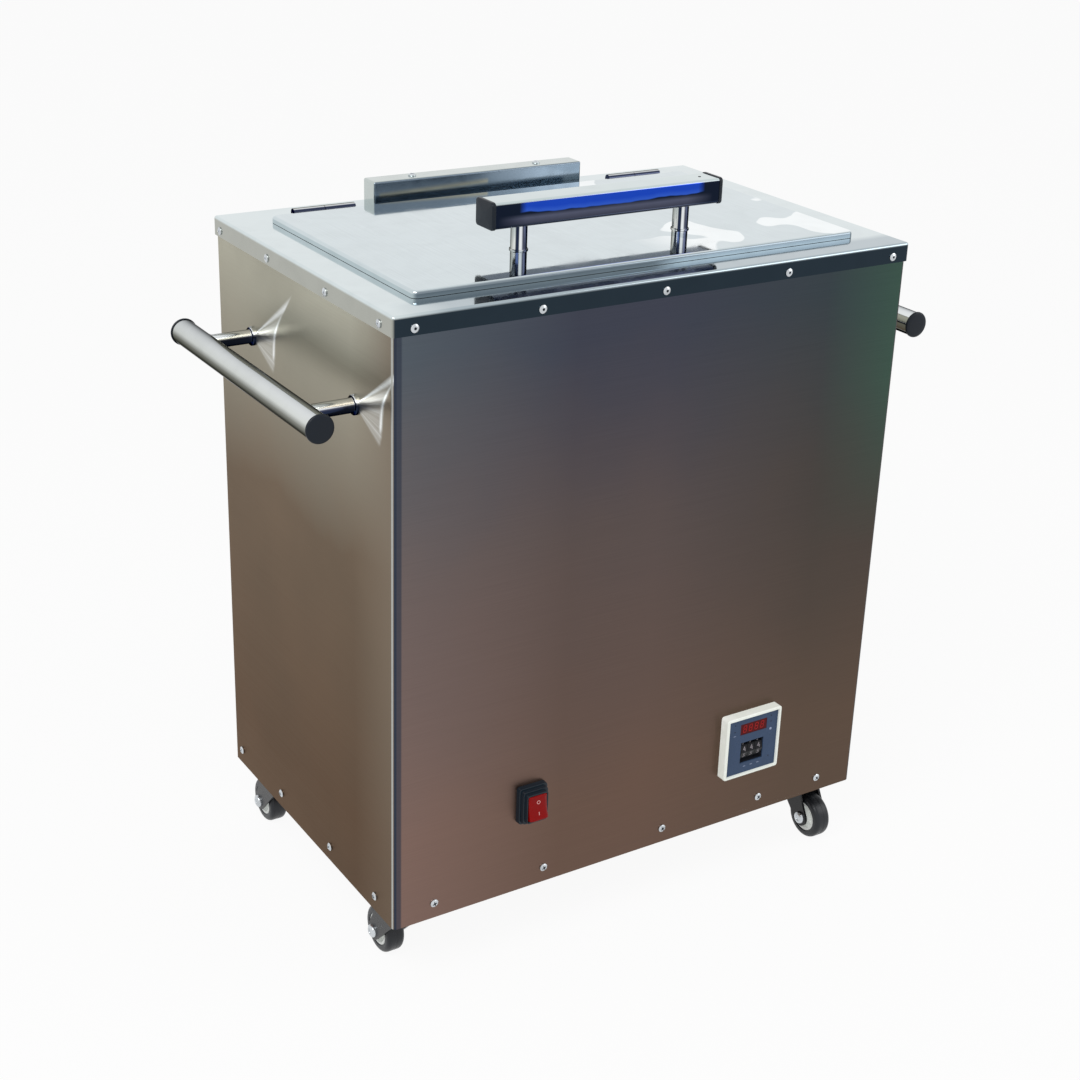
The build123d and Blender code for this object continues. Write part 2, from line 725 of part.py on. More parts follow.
bail_x = loop_x + rack_wire + bail_wire + weld_gap
with BuildPart() as rack_bails:
    for side in (-1, 1):
        with BuildLine() as bail_path:
            FilletPolyline(
                (side * bail_x, y_mouth - rack_bail_span / 2, rack_low),
                (side * bail_x, y_mouth - rack_bail_span / 2, rack_top + rack_bail_rise),
                (side * bail_x, y_mouth + rack_bail_span / 2, rack_top + rack_bail_rise),
                (side * bail_x, y_mouth + rack_bail_span / 2, rack_low),
                radius=bail_turn,
            )
        with BuildSketch(Plane(bail_path.wires()[0] @ 0, z_dir=(0, 0, 1))):
            Circle(bail_wire)
        sweep(path=bail_path.wires()[0])
finish(rack_bails, "rack_bails")

divider_low = rack_low + divider_wire
divider_high = rack_top - divider_wire
divider_half = rack_depth / 2
with BuildPart() as divider:
    outline = [
        (0, divider_half, divider_low),
        (0, divider_half, divider_high),
        (0, -divider_half, divider_high),
        (0, -divider_half, divider_low),
    ]
    add(wire_loop(outline, divider_wire, divider_turn))
    for step in (-1, 0, 1):
        with Locations((0, step * divider_half / 2, divider_low)):
            Cylinder(
                divider_rod, divider_high - divider_low, align=(Align.CENTER, Align.CENTER, Align.MIN)
            )
with BuildPart() as rack_dividers:
    with Locations(*[(-half_rack + rack_pitch * n, y_mouth, 0) for n in range(rack_slots + 1)]):
        add(divider.part)
finish(rack_dividers, "rack_dividers")

# ---- lid: polished pan, inner pan and the insulation between ------------------------------------------
with BuildPart() as lid_skin:
    with BuildSketch(Plane.XY.offset(lid_seat)):
        with Locations((0, y_mouth)):
            RectangleRounded(lid_width, lid_depth, lid_corner)
    extrude(amount=lid_top - lid_seat)
    fillet(lid_skin.edges().group_by(Axis.Z)[-1], lid_bend)
    offset(amount=-skin, openings=lid_skin.faces().sort_by(Axis.Z)[0])
    with Locations((0, y_handle, lid_top)):
        with GridLocations(lid_post_spacing, 1, 2, 1):
            Cylinder(stud_radius + screw_play, 4 * skin, mode=Mode.SUBTRACT)
finish(lid_skin, "lid_skin")

plug_x = mouth_width / 2 - lid_plug_play
plug_y = mouth_depth / 2 - lid_plug_play
plug_floor = cabinet_top - lid_plug_drop
lid_inner_x = lid_width / 2 - skin - sheet_gap
lid_inner_y = lid_depth / 2 - skin - sheet_gap
with BuildPart() as lid_liner:
    with BuildSketch(Plane.XY.offset(lid_seat)):
        with Locations((0, y_mouth)):
            RectangleRounded(2 * lid_inner_x, 2 * lid_inner_y, lid_corner - skin)
    extrude(amount=skin)
    with BuildSketch(Plane.XY.offset(plug_floor)):
        with Locations((0, y_mouth)):
            RectangleRounded(2 * plug_x, 2 * plug_y, mouth_corner)
    extrude(amount=lid_seat - plug_floor)
    with BuildSketch(Plane.XY.offset(plug_floor + skin)):
        with Locations((0, y_mouth)):
            RectangleRounded(2 * (plug_x - skin), 2 * (plug_y - skin), mouth_corner - skin)
    extrude(amount=lid_seat + 2 * skin - plug_floor, mode=Mode.SUBTRACT)
finish(lid_liner, "lid_liner")

with BuildPart() as lid_insulation:
    with BuildSketch(Plane.XY.offset(lid_seat + skin + sheet_gap)):
        with Locations((0, y_mouth)):
            RectangleRounded(2 * (lid_inner_x - lid_bend), 2 * (lid_inner_y - lid_bend), lid_bend)
    extrude(amount=lid_top - skin - sheet_gap - (lid_seat + skin + sheet_gap))
    with BuildSketch(Plane.XY.offset(plug_floor + skin + sheet_gap)):
        with Locations((0, y_mouth)):
            RectangleRounded(
                2 * (plug_x - skin - sheet_gap), 2 * (plug_y - skin - sheet_gap), mouth_corner - skin
            )
    extrude(amount=lid_seat + skin + 2 * sheet_gap - (plug_floor + skin + sheet_gap))
    with Locations((0, y_handle, lid_top)):
        with GridLocations(lid_post_spacing, 1, 2, 1):
            Cylinder(lid_post_radius, 2 * (stud_length + 2 * skin), mode=Mode.SUBTRACT)
finish(lid_insulation, "lid_insulation")

# ---- lid handle: rectangular tube with end caps on two posts -------------------------------------------
bar_length = lid_handle_length - 2 * cap_thickness
bar_middle = bar_bottom + lid_handle_height / 2
with BuildPart() as lid_handle_bar:
    with BuildSketch(Plane.YZ.offset(-bar_length / 2)):
        with Locations((y_handle, bar_middle)):
            RectangleRounded(lid_handle_depth, lid_handle_height, lid_handle_bend)
            RectangleRounded(
                lid_handle_depth - 2 * lid_handle_wall,
                lid_handle_height - 2 * lid_handle_wall,
                lid_handle_bend - lid_handle_wall,
                mode=Mode.SUBTRACT,
            )
    extrude(amount=bar_length)
    with Locations((0, y_handle, bar_bottom)):
        with GridLocations(lid_post_spacing, 1, 2, 1):
            Cylinder(stud_radius + screw_play, 4 * lid_handle_wall, mode=Mode.SUBTRACT)
finish(lid_handle_bar, "lid_handle_bar")

with BuildPart() as lid_handle_caps:
    for side in (-1, 1):
        with BuildSketch(Plane.YZ.offset(side * bar_length / 2)):
            with Locations((y_handle, bar_middle)):
                RectangleRounded(
                    lid_handle_depth + 2 * cap_lip, lid_handle_height + 2 * cap_lip, lid_handle_bend + cap_lip
                )
        extrude(amount=side * cap_thickness)
        with BuildSketch(Plane.YZ.offset(side * bar_length / 2)):
            with Locations((y_handle, bar_middle)):
                RectangleRounded(
                    lid_handle_depth - 2 * (lid_handle_wall + cap_play),
                    lid_handle_height - 2 * (lid_handle_wall + cap_play),
                    lid_handle_bend - lid_handle_wall,
                )
        extrude(amount=-side * cap_plug)
    ends = lid_handle_caps.faces().filter_by(Axis.X).sort_by(Axis.X)
    chamfer([ends[0].outer_wire().edges(), ends[-1].outer_wire().edges()], cap_chamfer)
finish(lid_handle_caps, "lid_handle_caps")

with BuildPart() as lid_handle_posts:
    with Locations((0, y_handle, lid_top)):
        with GridLocations(lid_post_spacing, 1, 2, 1):
            Cylinder(lid_post_radius, lid_handle_clear, align=(Align.CENTER, Align.CENTER, Align.MIN))
    with Locations((0, y_handle, lid_top - stud_length)):
        with GridLocations(lid_post_spacing, 1, 2, 1):
            Cylinder(
                stud_radius, lid_handle_clear + 2 * stud_length, align=(Align.CENTER, Align.CENTER, Align.MIN)
            )
finish(lid_handle_posts, "lid_handle_posts")

# ---- barrel hinges: outer knuckle and pin on the deck, inner knuckle on the lid -------------------------
knuckle_length = (hinge_length - hinge_split) / 2
pin_length = hinge_length - 2 * hinge_end
weld_length = knuckle_length - 2 * hinge_weld_inset


def along_x(x, y, z):
    """A place whose local Z runs along +X."""
    return Plane(origin=(x, y, z), x_dir=(0, 1, 0), z_dir=(1, 0, 0)).location


with BuildPart() as hinge_deck_knuckles:
    for side in (-1, 1):
        x = side * (hinge_x + (knuckle_length + hinge_split) / 2)
        with Locations((x, y_hinge, cabinet_top)):
            Box(weld_length, hinge_weld, hinge_rise, align=(Align.CENTER, Align.CENTER, Align.MIN))
        with Locations(along_x(x, y_hinge, z_hinge)):
            Cylinder(hinge_radius, knuckle_length)
        with Locations(along_x(side * hinge_x, y_hinge, z_hinge)):
            Cylinder(hinge_pin_radius, pin_length, mode=Mode.SUBTRACT)
finish(hinge_deck_knuckles, "hinge_deck_knuckles")

with BuildPart() as hinge_pins:
    for side in (-1, 1):
        with Locations(along_x(side * hinge_x, y_hinge, z_hinge)):
            Cylinder(hinge_pin_radius, pin_length)
finish(hinge_pins, "hinge_pins")

with BuildPart() as hinge_lid_knuckles:
    for side in (-1, 1):
        x = side * (hinge_x - (knuckle_length + hinge_split) / 2)
        with Locations((x, lid_rear, z_hinge - hinge_leaf_drop)):
            Box(weld_length, hinge_offset, hinge_leaf, align=(Align.CENTER, Align.MIN, Align.MIN))
        with Locations(along_x(x, y_hinge, z_hinge)):
            Cylinder(hinge_radius, knuckle_length)
        with Locations(along_x(side * hinge_x, y_hinge, z_hinge)):
            Cylinder(hinge_pin_radius + hinge_play, pin_length + 2 * hinge_split, mode=Mode.SUBTRACT)
finish(hinge_lid_knuckles, "hinge_lid_knuckles")

# ---- lid stop bar: folded channel, closed at its ends ---------------------------------------------------
with BuildPart() as lid_stop_bar:
    with Locations((0, stop_middle, cabinet_top)):
        Box(stop_bar_length, stop_bar_size, stop_bar_size, align=(Align.CENTER, Align.CENTER, Align.MIN))
    fillet(lid_stop_bar.edges().filter_by(Axis.Z) + lid_stop_bar.edges().group_by(Axis.Z)[-1], stop_bar_bend)
    offset(amount=-stop_bar_gauge, openings=lid_stop_bar.faces().sort_by(Axis.Z)[0])
    with Locations((0, stop_middle, cabinet_top + stop_bar_size)):
        with GridLocations(stop_screw_spacing, 1, 2, 1):
            Cylinder(hole_radius, 4 * stop_bar_gauge, mode=Mode.SUBTRACT)
finish(lid_stop_bar, "lid_stop_bar")

with BuildPart() as stop_bar_screws:
    with Locations((0, stop_middle, cabinet_top + stop_bar_size)):
        with GridLocations(stop_screw_spacing, 1, 2, 1):
            Cylinder(pan_radius, pan_height, align=(Align.CENTER, Align.CENTER, Align.MIN))
            Cylinder(
                screw_shank, stop_bar_size + stop_screw_grip, align=(Align.CENTER, Align.CENTER, Align.MAX)
            )
finish(stop_bar_screws, "stop_bar_screws")

# ---- side handles -----------------------------------------------------------------------------------------
grip_tube_length = grip_length - 2 * grip_cap_thickness


def along_y(x, y, z):
    """A place whose local Z runs along +Y."""
    return Plane(origin=(x, y, z), x_dir=(1, 0, 0), z_dir=(0, 1, 0)).location


with BuildPart() as side_handle_tubes:
    with Locations(*[along_y(side * x_grip, y_grip, z_grip) for side in (-1, 1)]):
        Cylinder(grip_radius, grip_tube_length)
        Cylinder(grip_radius - grip_wall, grip_tube_length, mode=Mode.SUBTRACT)
finish(side_handle_tubes, "side_handle_tubes")

with BuildPart() as side_handle_posts:
    with Locations(*grip_post_seats()):
        Cylinder(
            grip_post_radius, x_grip - wrap_x, align=(Align.CENTER, Align.CENTER, Align.MIN)
        )
        Cylinder(grip_collar_radius, grip_collar, align=(Align.CENTER, Align.CENTER, Align.MIN))
        Cylinder(grip_stud_radius, grip_stud_length, align=(Align.CENTER, Align.CENTER, Align.MAX))
    for side in (-1, 1):
        with Locations(along_y(side * x_grip, y_grip, z_grip)):
            Cylinder(grip_radius, grip_length, mode=Mode.SUBTRACT)
finish(side_handle_posts, "side_handle_posts")

with BuildPart() as side_handle_caps:
    for side in (-1, 1):
        for end in (-1, 1):
            with Locations(along_y(side * x_grip, y_grip + end * grip_length / 2, z_grip)):
                outward = Align.MAX if end > 0 else Align.MIN
                Cylinder(
                    grip_radius + grip_cap_lip,
                    grip_cap_thickness,
                    align=(Align.CENTER, Align.CENTER, outward),
                )
                Cylinder(
                    grip_radius - grip_wall - cap_play,
                    grip_cap_thickness + grip_cap_plug,
                    align=(Align.CENTER, Align.CENTER, outward),
                )
    rims = side_handle_caps.edges().filter_by(GeomType.CIRCLE).group_by(Axis.Y)
    fillet(rims[0] + rims[-1], grip_cap_round)
finish(side_handle_caps, "side_handle_caps")

inner_seats = [
    seat(side * (wrap_x - skin), y_grip + along, z_grip, (-side, 0, 0))
    for side in (-1, 1)
    for along in (-grip_post_spacing / 2, grip_post_spacing / 2)
]
with BuildPart() as side_handle_nuts:
    with Locations(*inner_seats):
        Cylinder(grip_washer_radius, grip_washer_gauge, align=(Align.CENTER, Align.CENTER, Align.MIN))
    for place in inner_seats:
        with BuildSketch(Plane(place).offset(grip_washer_gauge)):
            RegularPolygon(grip_nut_flats / 2, 6, major_radius=False)
        extrude(amount=grip_nut_height)
    with Locations(*inner_seats):
        Cylinder(grip_stud_radius + screw_play, 4 * grip_stud_length, mode=Mode.SUBTRACT)
finish(side_handle_nuts, "side_handle_nuts")

# ---- temperature controller --------------------------------------------------------------------------------
bezel_front = y_front - controller_proud
x_window = x_controller + window_shift_x
z_window = z_controller + window_shift_z
corner_radius = dial_radius / math.cos(math.pi / dial_numbers)
y_dial = face_front + corner_radius - dial_proud
pocket_back = y_dial + corner_radius + dial_clear
pocket_width = wheel_count * dial_width + (wheel_count + 1) * dial_gap
with BuildPart() as controller_body:
    with BuildSketch(Plane.XZ.offset(-wrap_front)):
        with Locations((x_controller, z_controller)):
            RectangleRounded(controller_width, controller_height, controller_corner)
    extrude(amount=wrap_front - bezel_front)
    chamfer(controller_body.faces().sort_by(Axis.Y)[0].outer_wire().edges(), controller_chamfer)
    with BuildSketch(Plane.XZ.offset(-wrap_front)):
        with Locations((x_controller, z_controller)):
            Rectangle(controller_case, controller_case)
    extrude(amount=-controller_case_depth)
    with BuildSketch(Plane.XZ.offset(-bezel_front)):
        with Locations((x_controller, z_controller)):
            Rectangle(controller_width - 2 * controller_rim, controller_height - 2 * controller_rim)
    extrude(amount=-(controller_recess + face_gauge), mode=Mode.SUBTRACT)
    with Locations((x_window, (bezel_front + pocket_back) / 2, z_window)):
        Box(pocket_width, pocket_back - bezel_front, 2 * corner_radius + 2 * dial_clear, mode=Mode.SUBTRACT)
    with Locations((x_controller + display_shift_x, face_front, z_controller + display_shift_z)):
        Box(
            display_width - 2 * display_ledge, 4 * display_depth, display_height - 2 * display_ledge,
            mode=Mode.SUBTRACT,
        )
    with Locations(along_x(x_window, y_dial, z_window)):
        Cylinder(dial_pin, pocket_width)
finish(controller_body, "controller_case")

with BuildPart() as controller_face:
    with BuildSketch(Plane.XZ.offset(-face_front)):
        with Locations((x_controller, z_controller)):
            Rectangle(
                controller_width - 2 * controller_rim - 2 * fit_play,
                controller_height - 2 * controller_rim - 2 * fit_play,
            )
        with Locations((x_controller + display_shift_x, z_controller + display_shift_z)):
            Rectangle(display_width, display_height, mode=Mode.SUBTRACT)
        with Locations((x_window, z_window)):
            Rectangle(window_width, window_height, mode=Mode.SUBTRACT)
    extrude(amount=-(face_gauge - fit_play))
finish(controller_face, "controller_face")

with BuildPart() as controller_display:
    display_front = face_front + display_sink
    with Locations((x_controller + display_shift_x, display_front, z_controller + display_shift_z)):
        Box(
            display_width - 2 * fit_play,
            face_gauge - display_sink - fit_play,
            display_height - 2 * fit_play,
            align=(Align.CENTER, Align.MIN, Align.CENTER),
        )
finish(controller_display, "controller_display")

for n in range(wheel_count):
    offset_x = (n - (wheel_count - 1) / 2) * (dial_width + dial_gap)
    with BuildPart() as dial:
        with BuildSketch(Plane.YZ.offset(x_window + offset_x - dial_width / 2)):
            with Locations((y_dial, z_window)):
                RegularPolygon(dial_radius, dial_numbers, major_radius=False)
                Circle(dial_pin + hinge_play, mode=Mode.SUBTRACT)
        extrude(amount=dial_width)
    finish(dial, f"setting_wheel_{n + 1}")

# ---- power switch ------------------------------------------------------------------------------------------
with BuildPart() as switch_body:
    step_back = wrap_front
    for inset, height in switch_steps:
        with BuildSketch(Plane.XZ.offset(-step_back)):
            with Locations((x_switch, z_switch)):
                RectangleRounded(switch_width - 2 * inset, switch_height - 2 * inset, switch_corner)
        extrude(amount=height, taper=switch_draft)
        step_back = step_back - height
    with BuildSketch(Plane.XZ.offset(-wrap_front)):
        with Locations((x_switch, z_switch)):
            Rectangle(switch_body_width, switch_body_height)
    extrude(amount=-switch_body_depth)
    with BuildSketch(Plane.XZ.offset(-(y_front - switch_proud))):
        with Locations((x_switch, z_switch)):
            Rectangle(rocker_width + 2 * rocker_play, rocker_height + 2 * rocker_play)
    extrude(amount=-(switch_proud + switch_body_depth / 2), mode=Mode.SUBTRACT)
    with Locations(along_x(x_switch, y_rocker, z_switch)):
        pin_span = rocker_width + 2 * rocker_pin_length + 2 * rocker_play
        Cylinder(rocker_pin + hinge_play, pin_span, mode=Mode.SUBTRACT)
    with Locations((x_switch, wrap_front + switch_body_depth, z_switch)):
        with Locations(*[
            (along * spade_pitch[0] / 2, 0, up * spade_pitch[1] / 2) for along in (-1, 1) for up in (-1, 1)
        ]):
            Box(*spade_size, align=(Align.CENTER, Align.MIN, Align.CENTER))
finish(switch_body, "switch_body")

rocker_front = -(rocker_back / 2 + rocker_stand)
with BuildPart() as switch_rocker:
    with BuildSketch(Plane.YZ.offset(x_switch - rocker_width / 2)) as rocker_profile:
        with BuildLine():
            Polyline(
                (rocker_back / 2, rocker_height / 2 - rocker_heel),
                (0, rocker_height / 2),
                (rocker_front - rocker_bulge, rocker_height / 2 - rocker_end),
                (rocker_front, 0),
                (rocker_front - rocker_bulge, -rocker_height / 2 + rocker_end),
                (0, -rocker_height / 2),
                (rocker_back / 2, -rocker_height / 2 + rocker_heel),
                close=True,
            )
        make_face()
    extrude(amount=rocker_width)
    with Locations(along_x(x_switch, 0, 0)):
        Cylinder(rocker_pin, rocker_width + 2 * rocker_pin_length)
seated_rocker = Pos(0, y_rocker, z_switch) * Rot(-rocker_tilt, 0, 0) * switch_rocker.part
with BuildPart() as rocker_at_rest:
    add(seated_rocker)
finish(rocker_at_rest, "switch_rocker")

# ---- drain: pipe from the tank's floor to a quarter-turn valve behind the cabinet ----------------------
z_pipe_top = tank_floor - skin
with BuildPart() as drain_pipe:
    with BuildLine() as drain_path:
        FilletPolyline(
            (drain_x, y_drain, z_pipe_top),
            (drain_x, y_drain, z_drain),
            (drain_x, y_back + drain_stub, z_drain),
            radius=drain_turn,
        )
    with BuildSketch(Plane(origin=(drain_x, y_drain, z_pipe_top), z_dir=(0, 0, -1))):
        Circle(drain_radius)
        Circle(drain_radius - drain_wall, mode=Mode.SUBTRACT)
    sweep()
finish(drain_pipe, "drain_pipe")

valve_start = y_back + drain_stub - valve_socket
valve_end = valve_start + valve_length
y_lever = (valve_start + valve_end) / 2
z_lever = z_drain + valve_radius + valve_stem_rise
with BuildPart() as drain_valve:
    with BuildSketch(Plane.XZ.offset(-valve_start)):
        with Locations((drain_x, z_drain)):
            RegularPolygon(valve_radius, 8, major_radius=False)
    extrude(amount=-valve_length)
    with Locations(along_y(drain_x, valve_end, z_drain)):
        Cylinder(barb_radius, barb_length, align=(Align.CENTER, Align.CENTER, Align.MIN))
        Cylinder(valve_bore, 2 * (valve_length + barb_length), mode=Mode.SUBTRACT)
    with Locations(along_y(drain_x, valve_start, z_drain)):
        Cylinder(drain_radius + fit_play, 2 * valve_socket, mode=Mode.SUBTRACT)
    with Locations((drain_x, y_lever, z_lever - lever_gauge - lever_gap)):
        collar_height = z_lever - lever_gauge - lever_gap - z_drain - valve_bore - valve_wall
        Cylinder(valve_stem_collar, collar_height, align=(Align.CENTER, Align.CENTER, Align.MAX))
        Cylinder(
            valve_stem_radius, lever_gauge + 2 * lever_gap, align=(Align.CENTER, Align.CENTER, Align.MIN)
        )
    with BuildSketch(Plane.XY.offset(z_lever + lever_gap)):
        with Locations((drain_x, y_lever)):
            RegularPolygon(valve_stem_collar, 6, major_radius=False)
    extrude(amount=valve_nut_height)
finish(drain_valve, "drain_valve")

with BuildPart() as drain_lever:
    with BuildSketch(Plane.XY.offset(z_lever - lever_gauge)):
        with Locations((drain_x + lever_length / 2 - lever_width / 2, y_lever)):
            SlotOverall(lever_length, lever_width)
        with Locations((drain_x, y_lever)):
            Circle(valve_stem_radius + hinge_play, mode=Mode.SUBTRACT)
    extrude(amount=lever_gauge)
finish(drain_lever, "drain_lever")

# ---- lower bay: cable gland, contactor and terminal block ---------------------------------------------
with BuildPart() as cable_gland:
    with BuildSketch(Plane.XZ.offset(-back_face)):
        with Locations((gland_x, z_gland)):
            RegularPolygon(gland_flats / 2, 6, major_radius=False)
    extrude(amount=-gland_nut)
    with Locations(along_y(gland_x, back_face + gland_nut, z_gland)):
        Cone(gland_radius, gland_bore + gland_lip, gland_dome, align=(Align.CENTER, Align.CENTER, Align.MIN))
    with Locations(along_y(gland_x, back_face, z_gland)):
        Cylinder(gland_radius, gland_thread, align=(Align.CENTER, Align.CENTER, Align.MAX))
    with BuildSketch(Plane.XZ.offset(-(back_face - skin))):
        with Locations((gland_x, z_gland)):
            RegularPolygon(gland_flats / 2, 6, major_radius=False)
    extrude(amount=gland_nut / 2)
    with Locations(along_y(gland_x, back_face, z_gland)):
        Cylinder(gland_bore, 4 * gland_thread, mode=Mode.SUBTRACT)
finish(cable_gland, "cable_gland")

contactor_width, contactor_length, contactor_height = contactor_size
x_kit = bay_kit_x
y_kit = y_front + bay_kit_y
with BuildPart() as contactor:
    with Locations((x_kit, y_kit, tray_floor)):
        Box(
            contactor_width, contactor_length, contactor_height * contactor_shoulder,
            align=(Align.CENTER, Align.CENTER, Align.MIN),
        )
        Box(
            contactor_width, contactor_length * contactor_head, contactor_height,
            align=(Align.CENTER, Align.CENTER, Align.MIN),
        )
finish(contactor, "contactor")

terminal_width, terminal_length, terminal_height = terminal_size
with BuildPart() as terminal_block:
    with Locations((x_kit + contactor_width + terminal_width / 2, y_kit, tray_floor)):
        Box(
            terminal_width, terminal_length, terminal_height,
            align=(Align.CENTER, Align.CENTER, Align.MIN),
        )
    with Locations((x_kit + contactor_width + terminal_width / 2, y_kit, tray_floor + terminal_height)):
        with GridLocations(terminal_width / (terminal_ways + 1), terminal_length / 2, terminal_ways, 2):
            Box(*terminal_well, mode=Mode.SUBTRACT)
finish(terminal_block, "terminal_block")

# ---- casters -------------------------------------------------------------------------------------------
plate_under = caster_height - caster_plate_gauge
race_top = fork_crown_top + race_height
with BuildPart() as caster_plates:
    for x, y, trail in caster_places().values():
        with BuildSketch(Plane.XY.offset(plate_under)):
            with Locations((x, y)):
                RectangleRounded(caster_plate_size, caster_plate_size, caster_plate_corner)
                with GridLocations(caster_bolt_spacing, caster_bolt_spacing, 2, 2):
                    Circle(caster_bolt_radius + screw_play, mode=Mode.SUBTRACT)
        extrude(amount=caster_plate_gauge)
        with Locations((x, y, race_top + race_gap)):
            Cone(
                race_radius + race_flare, race_radius - race_neck, plate_under - race_top - race_gap,
                align=(Align.CENTER, Align.CENTER, Align.MIN),
            )
        rivet_base = fork_crown_top - fork_crown_gauge - race_gap
        with Locations((x, y, rivet_base)):
            Cylinder(kingpin_radius, plate_under - rivet_base, align=(Align.CENTER, Align.CENTER, Align.MIN))
            Cylinder(rivet_radius, rivet_height, align=(Align.CENTER, Align.CENTER, Align.MAX))
finish(caster_plates, "caster_plates")

with BuildPart() as caster_bolts:
    for x, y, trail in caster_places().values():
        with BuildSketch(Plane.XY.offset(plate_under)):
            with Locations((x, y)):
                with GridLocations(caster_bolt_spacing, caster_bolt_spacing, 2, 2):
                    RegularPolygon(caster_bolt_flats / 2, 6, major_radius=False)
        extrude(amount=-caster_bolt_head)
        with Locations((x, y, plate_under)):
            with GridLocations(caster_bolt_spacing, caster_bolt_spacing, 2, 2):
                Cylinder(
                    caster_bolt_radius, caster_bolt_length, align=(Align.CENTER, Align.CENTER, Align.MIN)
                )
        with BuildSketch(Plane.XY.offset(tray_floor)):
            with Locations((x, y)):
                with GridLocations(caster_bolt_spacing, caster_bolt_spacing, 2, 2):
                    RegularPolygon(caster_bolt_flats / 2, 6, major_radius=False)
        extrude(amount=caster_nut_height)
finish(caster_bolts, "caster_bolts")

fork_outer = fork_inner + 2 * fork_gauge


def build_fork(x, y, trail):
    """Folded fork: two legs hanging from a crown, with the lower half of the swivel race on top."""
    with BuildPart() as fork:
        with BuildSketch(Plane.YZ.offset(x - fork_outer / 2)):
            with Locations((y + trail, wheel_radius)):
                Circle(fork_eye)
            with Locations((y, fork_crown_top)):
                Rectangle(fork_crown_length, fork_crown_gauge, align=(Align.CENTER, Align.MAX))
            make_hull()
        extrude(amount=fork_outer)
        slot_height = fork_crown_top - fork_crown_gauge
        with Locations((x, y, 0)):
            Box(
                fork_inner, 4 * fork_crown_length, slot_height, align=(Align.CENTER, Align.CENTER, Align.MIN),
                mode=Mode.SUBTRACT,
            )
        fillet(fork.edges().filter_by(Axis.Y).group_by(Axis.Z)[-1], fork_gauge)
        with Locations((x, y, fork_crown_top)):
            Cylinder(race_radius, race_height, align=(Align.CENTER, Align.CENTER, Align.MIN))
        with Locations((x, y, fork_crown_top)):
            Cylinder(kingpin_radius + bearing_play, 4 * race_height, mode=Mode.SUBTRACT)
        with Locations(along_x(x, y + trail, wheel_radius)):
            Cylinder(axle_radius + bearing_play, 2 * fork_outer, mode=Mode.SUBTRACT)
    return fork


def build_axle(x, y, trail):
    """Axle bolt: shank through both legs, a round head on the left and a hex nut on the right."""
    with BuildPart() as axle:
        with Locations(along_x(x, y + trail, wheel_radius)):
            Cylinder(axle_radius, fork_outer)
        with Locations(along_x(x - fork_outer / 2, y + trail, wheel_radius)):
            Cylinder(axle_head_radius, axle_head, align=(Align.CENTER, Align.CENTER, Align.MAX))
        with BuildSketch(Plane.YZ.offset(x + fork_outer / 2)):
            with Locations((y + trail, wheel_radius)):
                RegularPolygon(axle_nut_flats / 2, 6, major_radius=False)
        extrude(amount=axle_head)
    return axle


def build_wheel(x, y, trail):
    """Wheel turned from one profile: hub, web and a tyre with a rounded tread."""
    with BuildPart() as wheel:
        with BuildSketch(Plane.XY.offset(wheel_radius)) as section:
            with BuildLine():
                Polyline(
                    (x - hub_width / 2, y + trail + axle_radius + bearing_play),
                    (x - hub_width / 2, y + trail + hub_radius),
                    (x - wheel_web / 2, y + trail + hub_radius),
                    (x - wheel_web / 2, y + trail + wheel_core_radius),
                    (x - wheel_width / 2, y + trail + wheel_core_radius),
                    (x - wheel_width / 2, y + trail + wheel_radius),
                    (x + wheel_width / 2, y + trail + wheel_radius),
                    (x + wheel_width / 2, y + trail + wheel_core_radius),
                    (x + wheel_web / 2, y + trail + wheel_core_radius),
                    (x + wheel_web / 2, y + trail + hub_radius),
                    (x + hub_width / 2, y + trail + hub_radius),
                    (x + hub_width / 2, y + trail + axle_radius + bearing_play),
                    close=True,
                )
            make_face()
            fillet(section.vertices().group_by(Axis.Y)[-1], tyre_shoulder)
        revolve(axis=Axis((x, y + trail, wheel_radius), (1, 0, 0)))
    return wheel


for name, (x, y, way) in caster_places().items():
    finish(build_fork(x, y, way * caster_trail), f"{name}_fork")
    finish(build_axle(x, y, way * caster_trail), f"{name}_axle")
    finish(build_wheel(x, y, way * caster_trail), f"{name}_wheel")
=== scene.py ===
"""Looks of the hot pack heater: finishes for its solids, finer pieces, and a plain studio.

Laid out as an add-on and run as a script. Metres throughout, in the packed model's own frame.
"""

import json
import math

import bpy
import numpy as np
from bpy.props import FloatProperty, FloatVectorProperty, IntProperty, PointerProperty
from mathutils import Matrix, Vector


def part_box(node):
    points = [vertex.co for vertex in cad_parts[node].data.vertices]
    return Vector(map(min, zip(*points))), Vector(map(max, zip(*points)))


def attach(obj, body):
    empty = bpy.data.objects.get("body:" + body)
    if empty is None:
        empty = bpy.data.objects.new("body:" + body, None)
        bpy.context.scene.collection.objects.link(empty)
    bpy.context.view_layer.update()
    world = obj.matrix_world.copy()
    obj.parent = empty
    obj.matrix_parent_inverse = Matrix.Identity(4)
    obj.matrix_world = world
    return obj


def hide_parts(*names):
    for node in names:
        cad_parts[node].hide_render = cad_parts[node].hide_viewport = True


bl_info = {
    "name": "Hot pack heater looks",
    "version": (1, 0, 0),
    "blender": (4, 5, 0),
    "location": "3D View > Sidebar > Heater",
    "description": "Dresses the packed heater: sheet steel, handles, controls, casters and studio",
    "category": "Object",
}

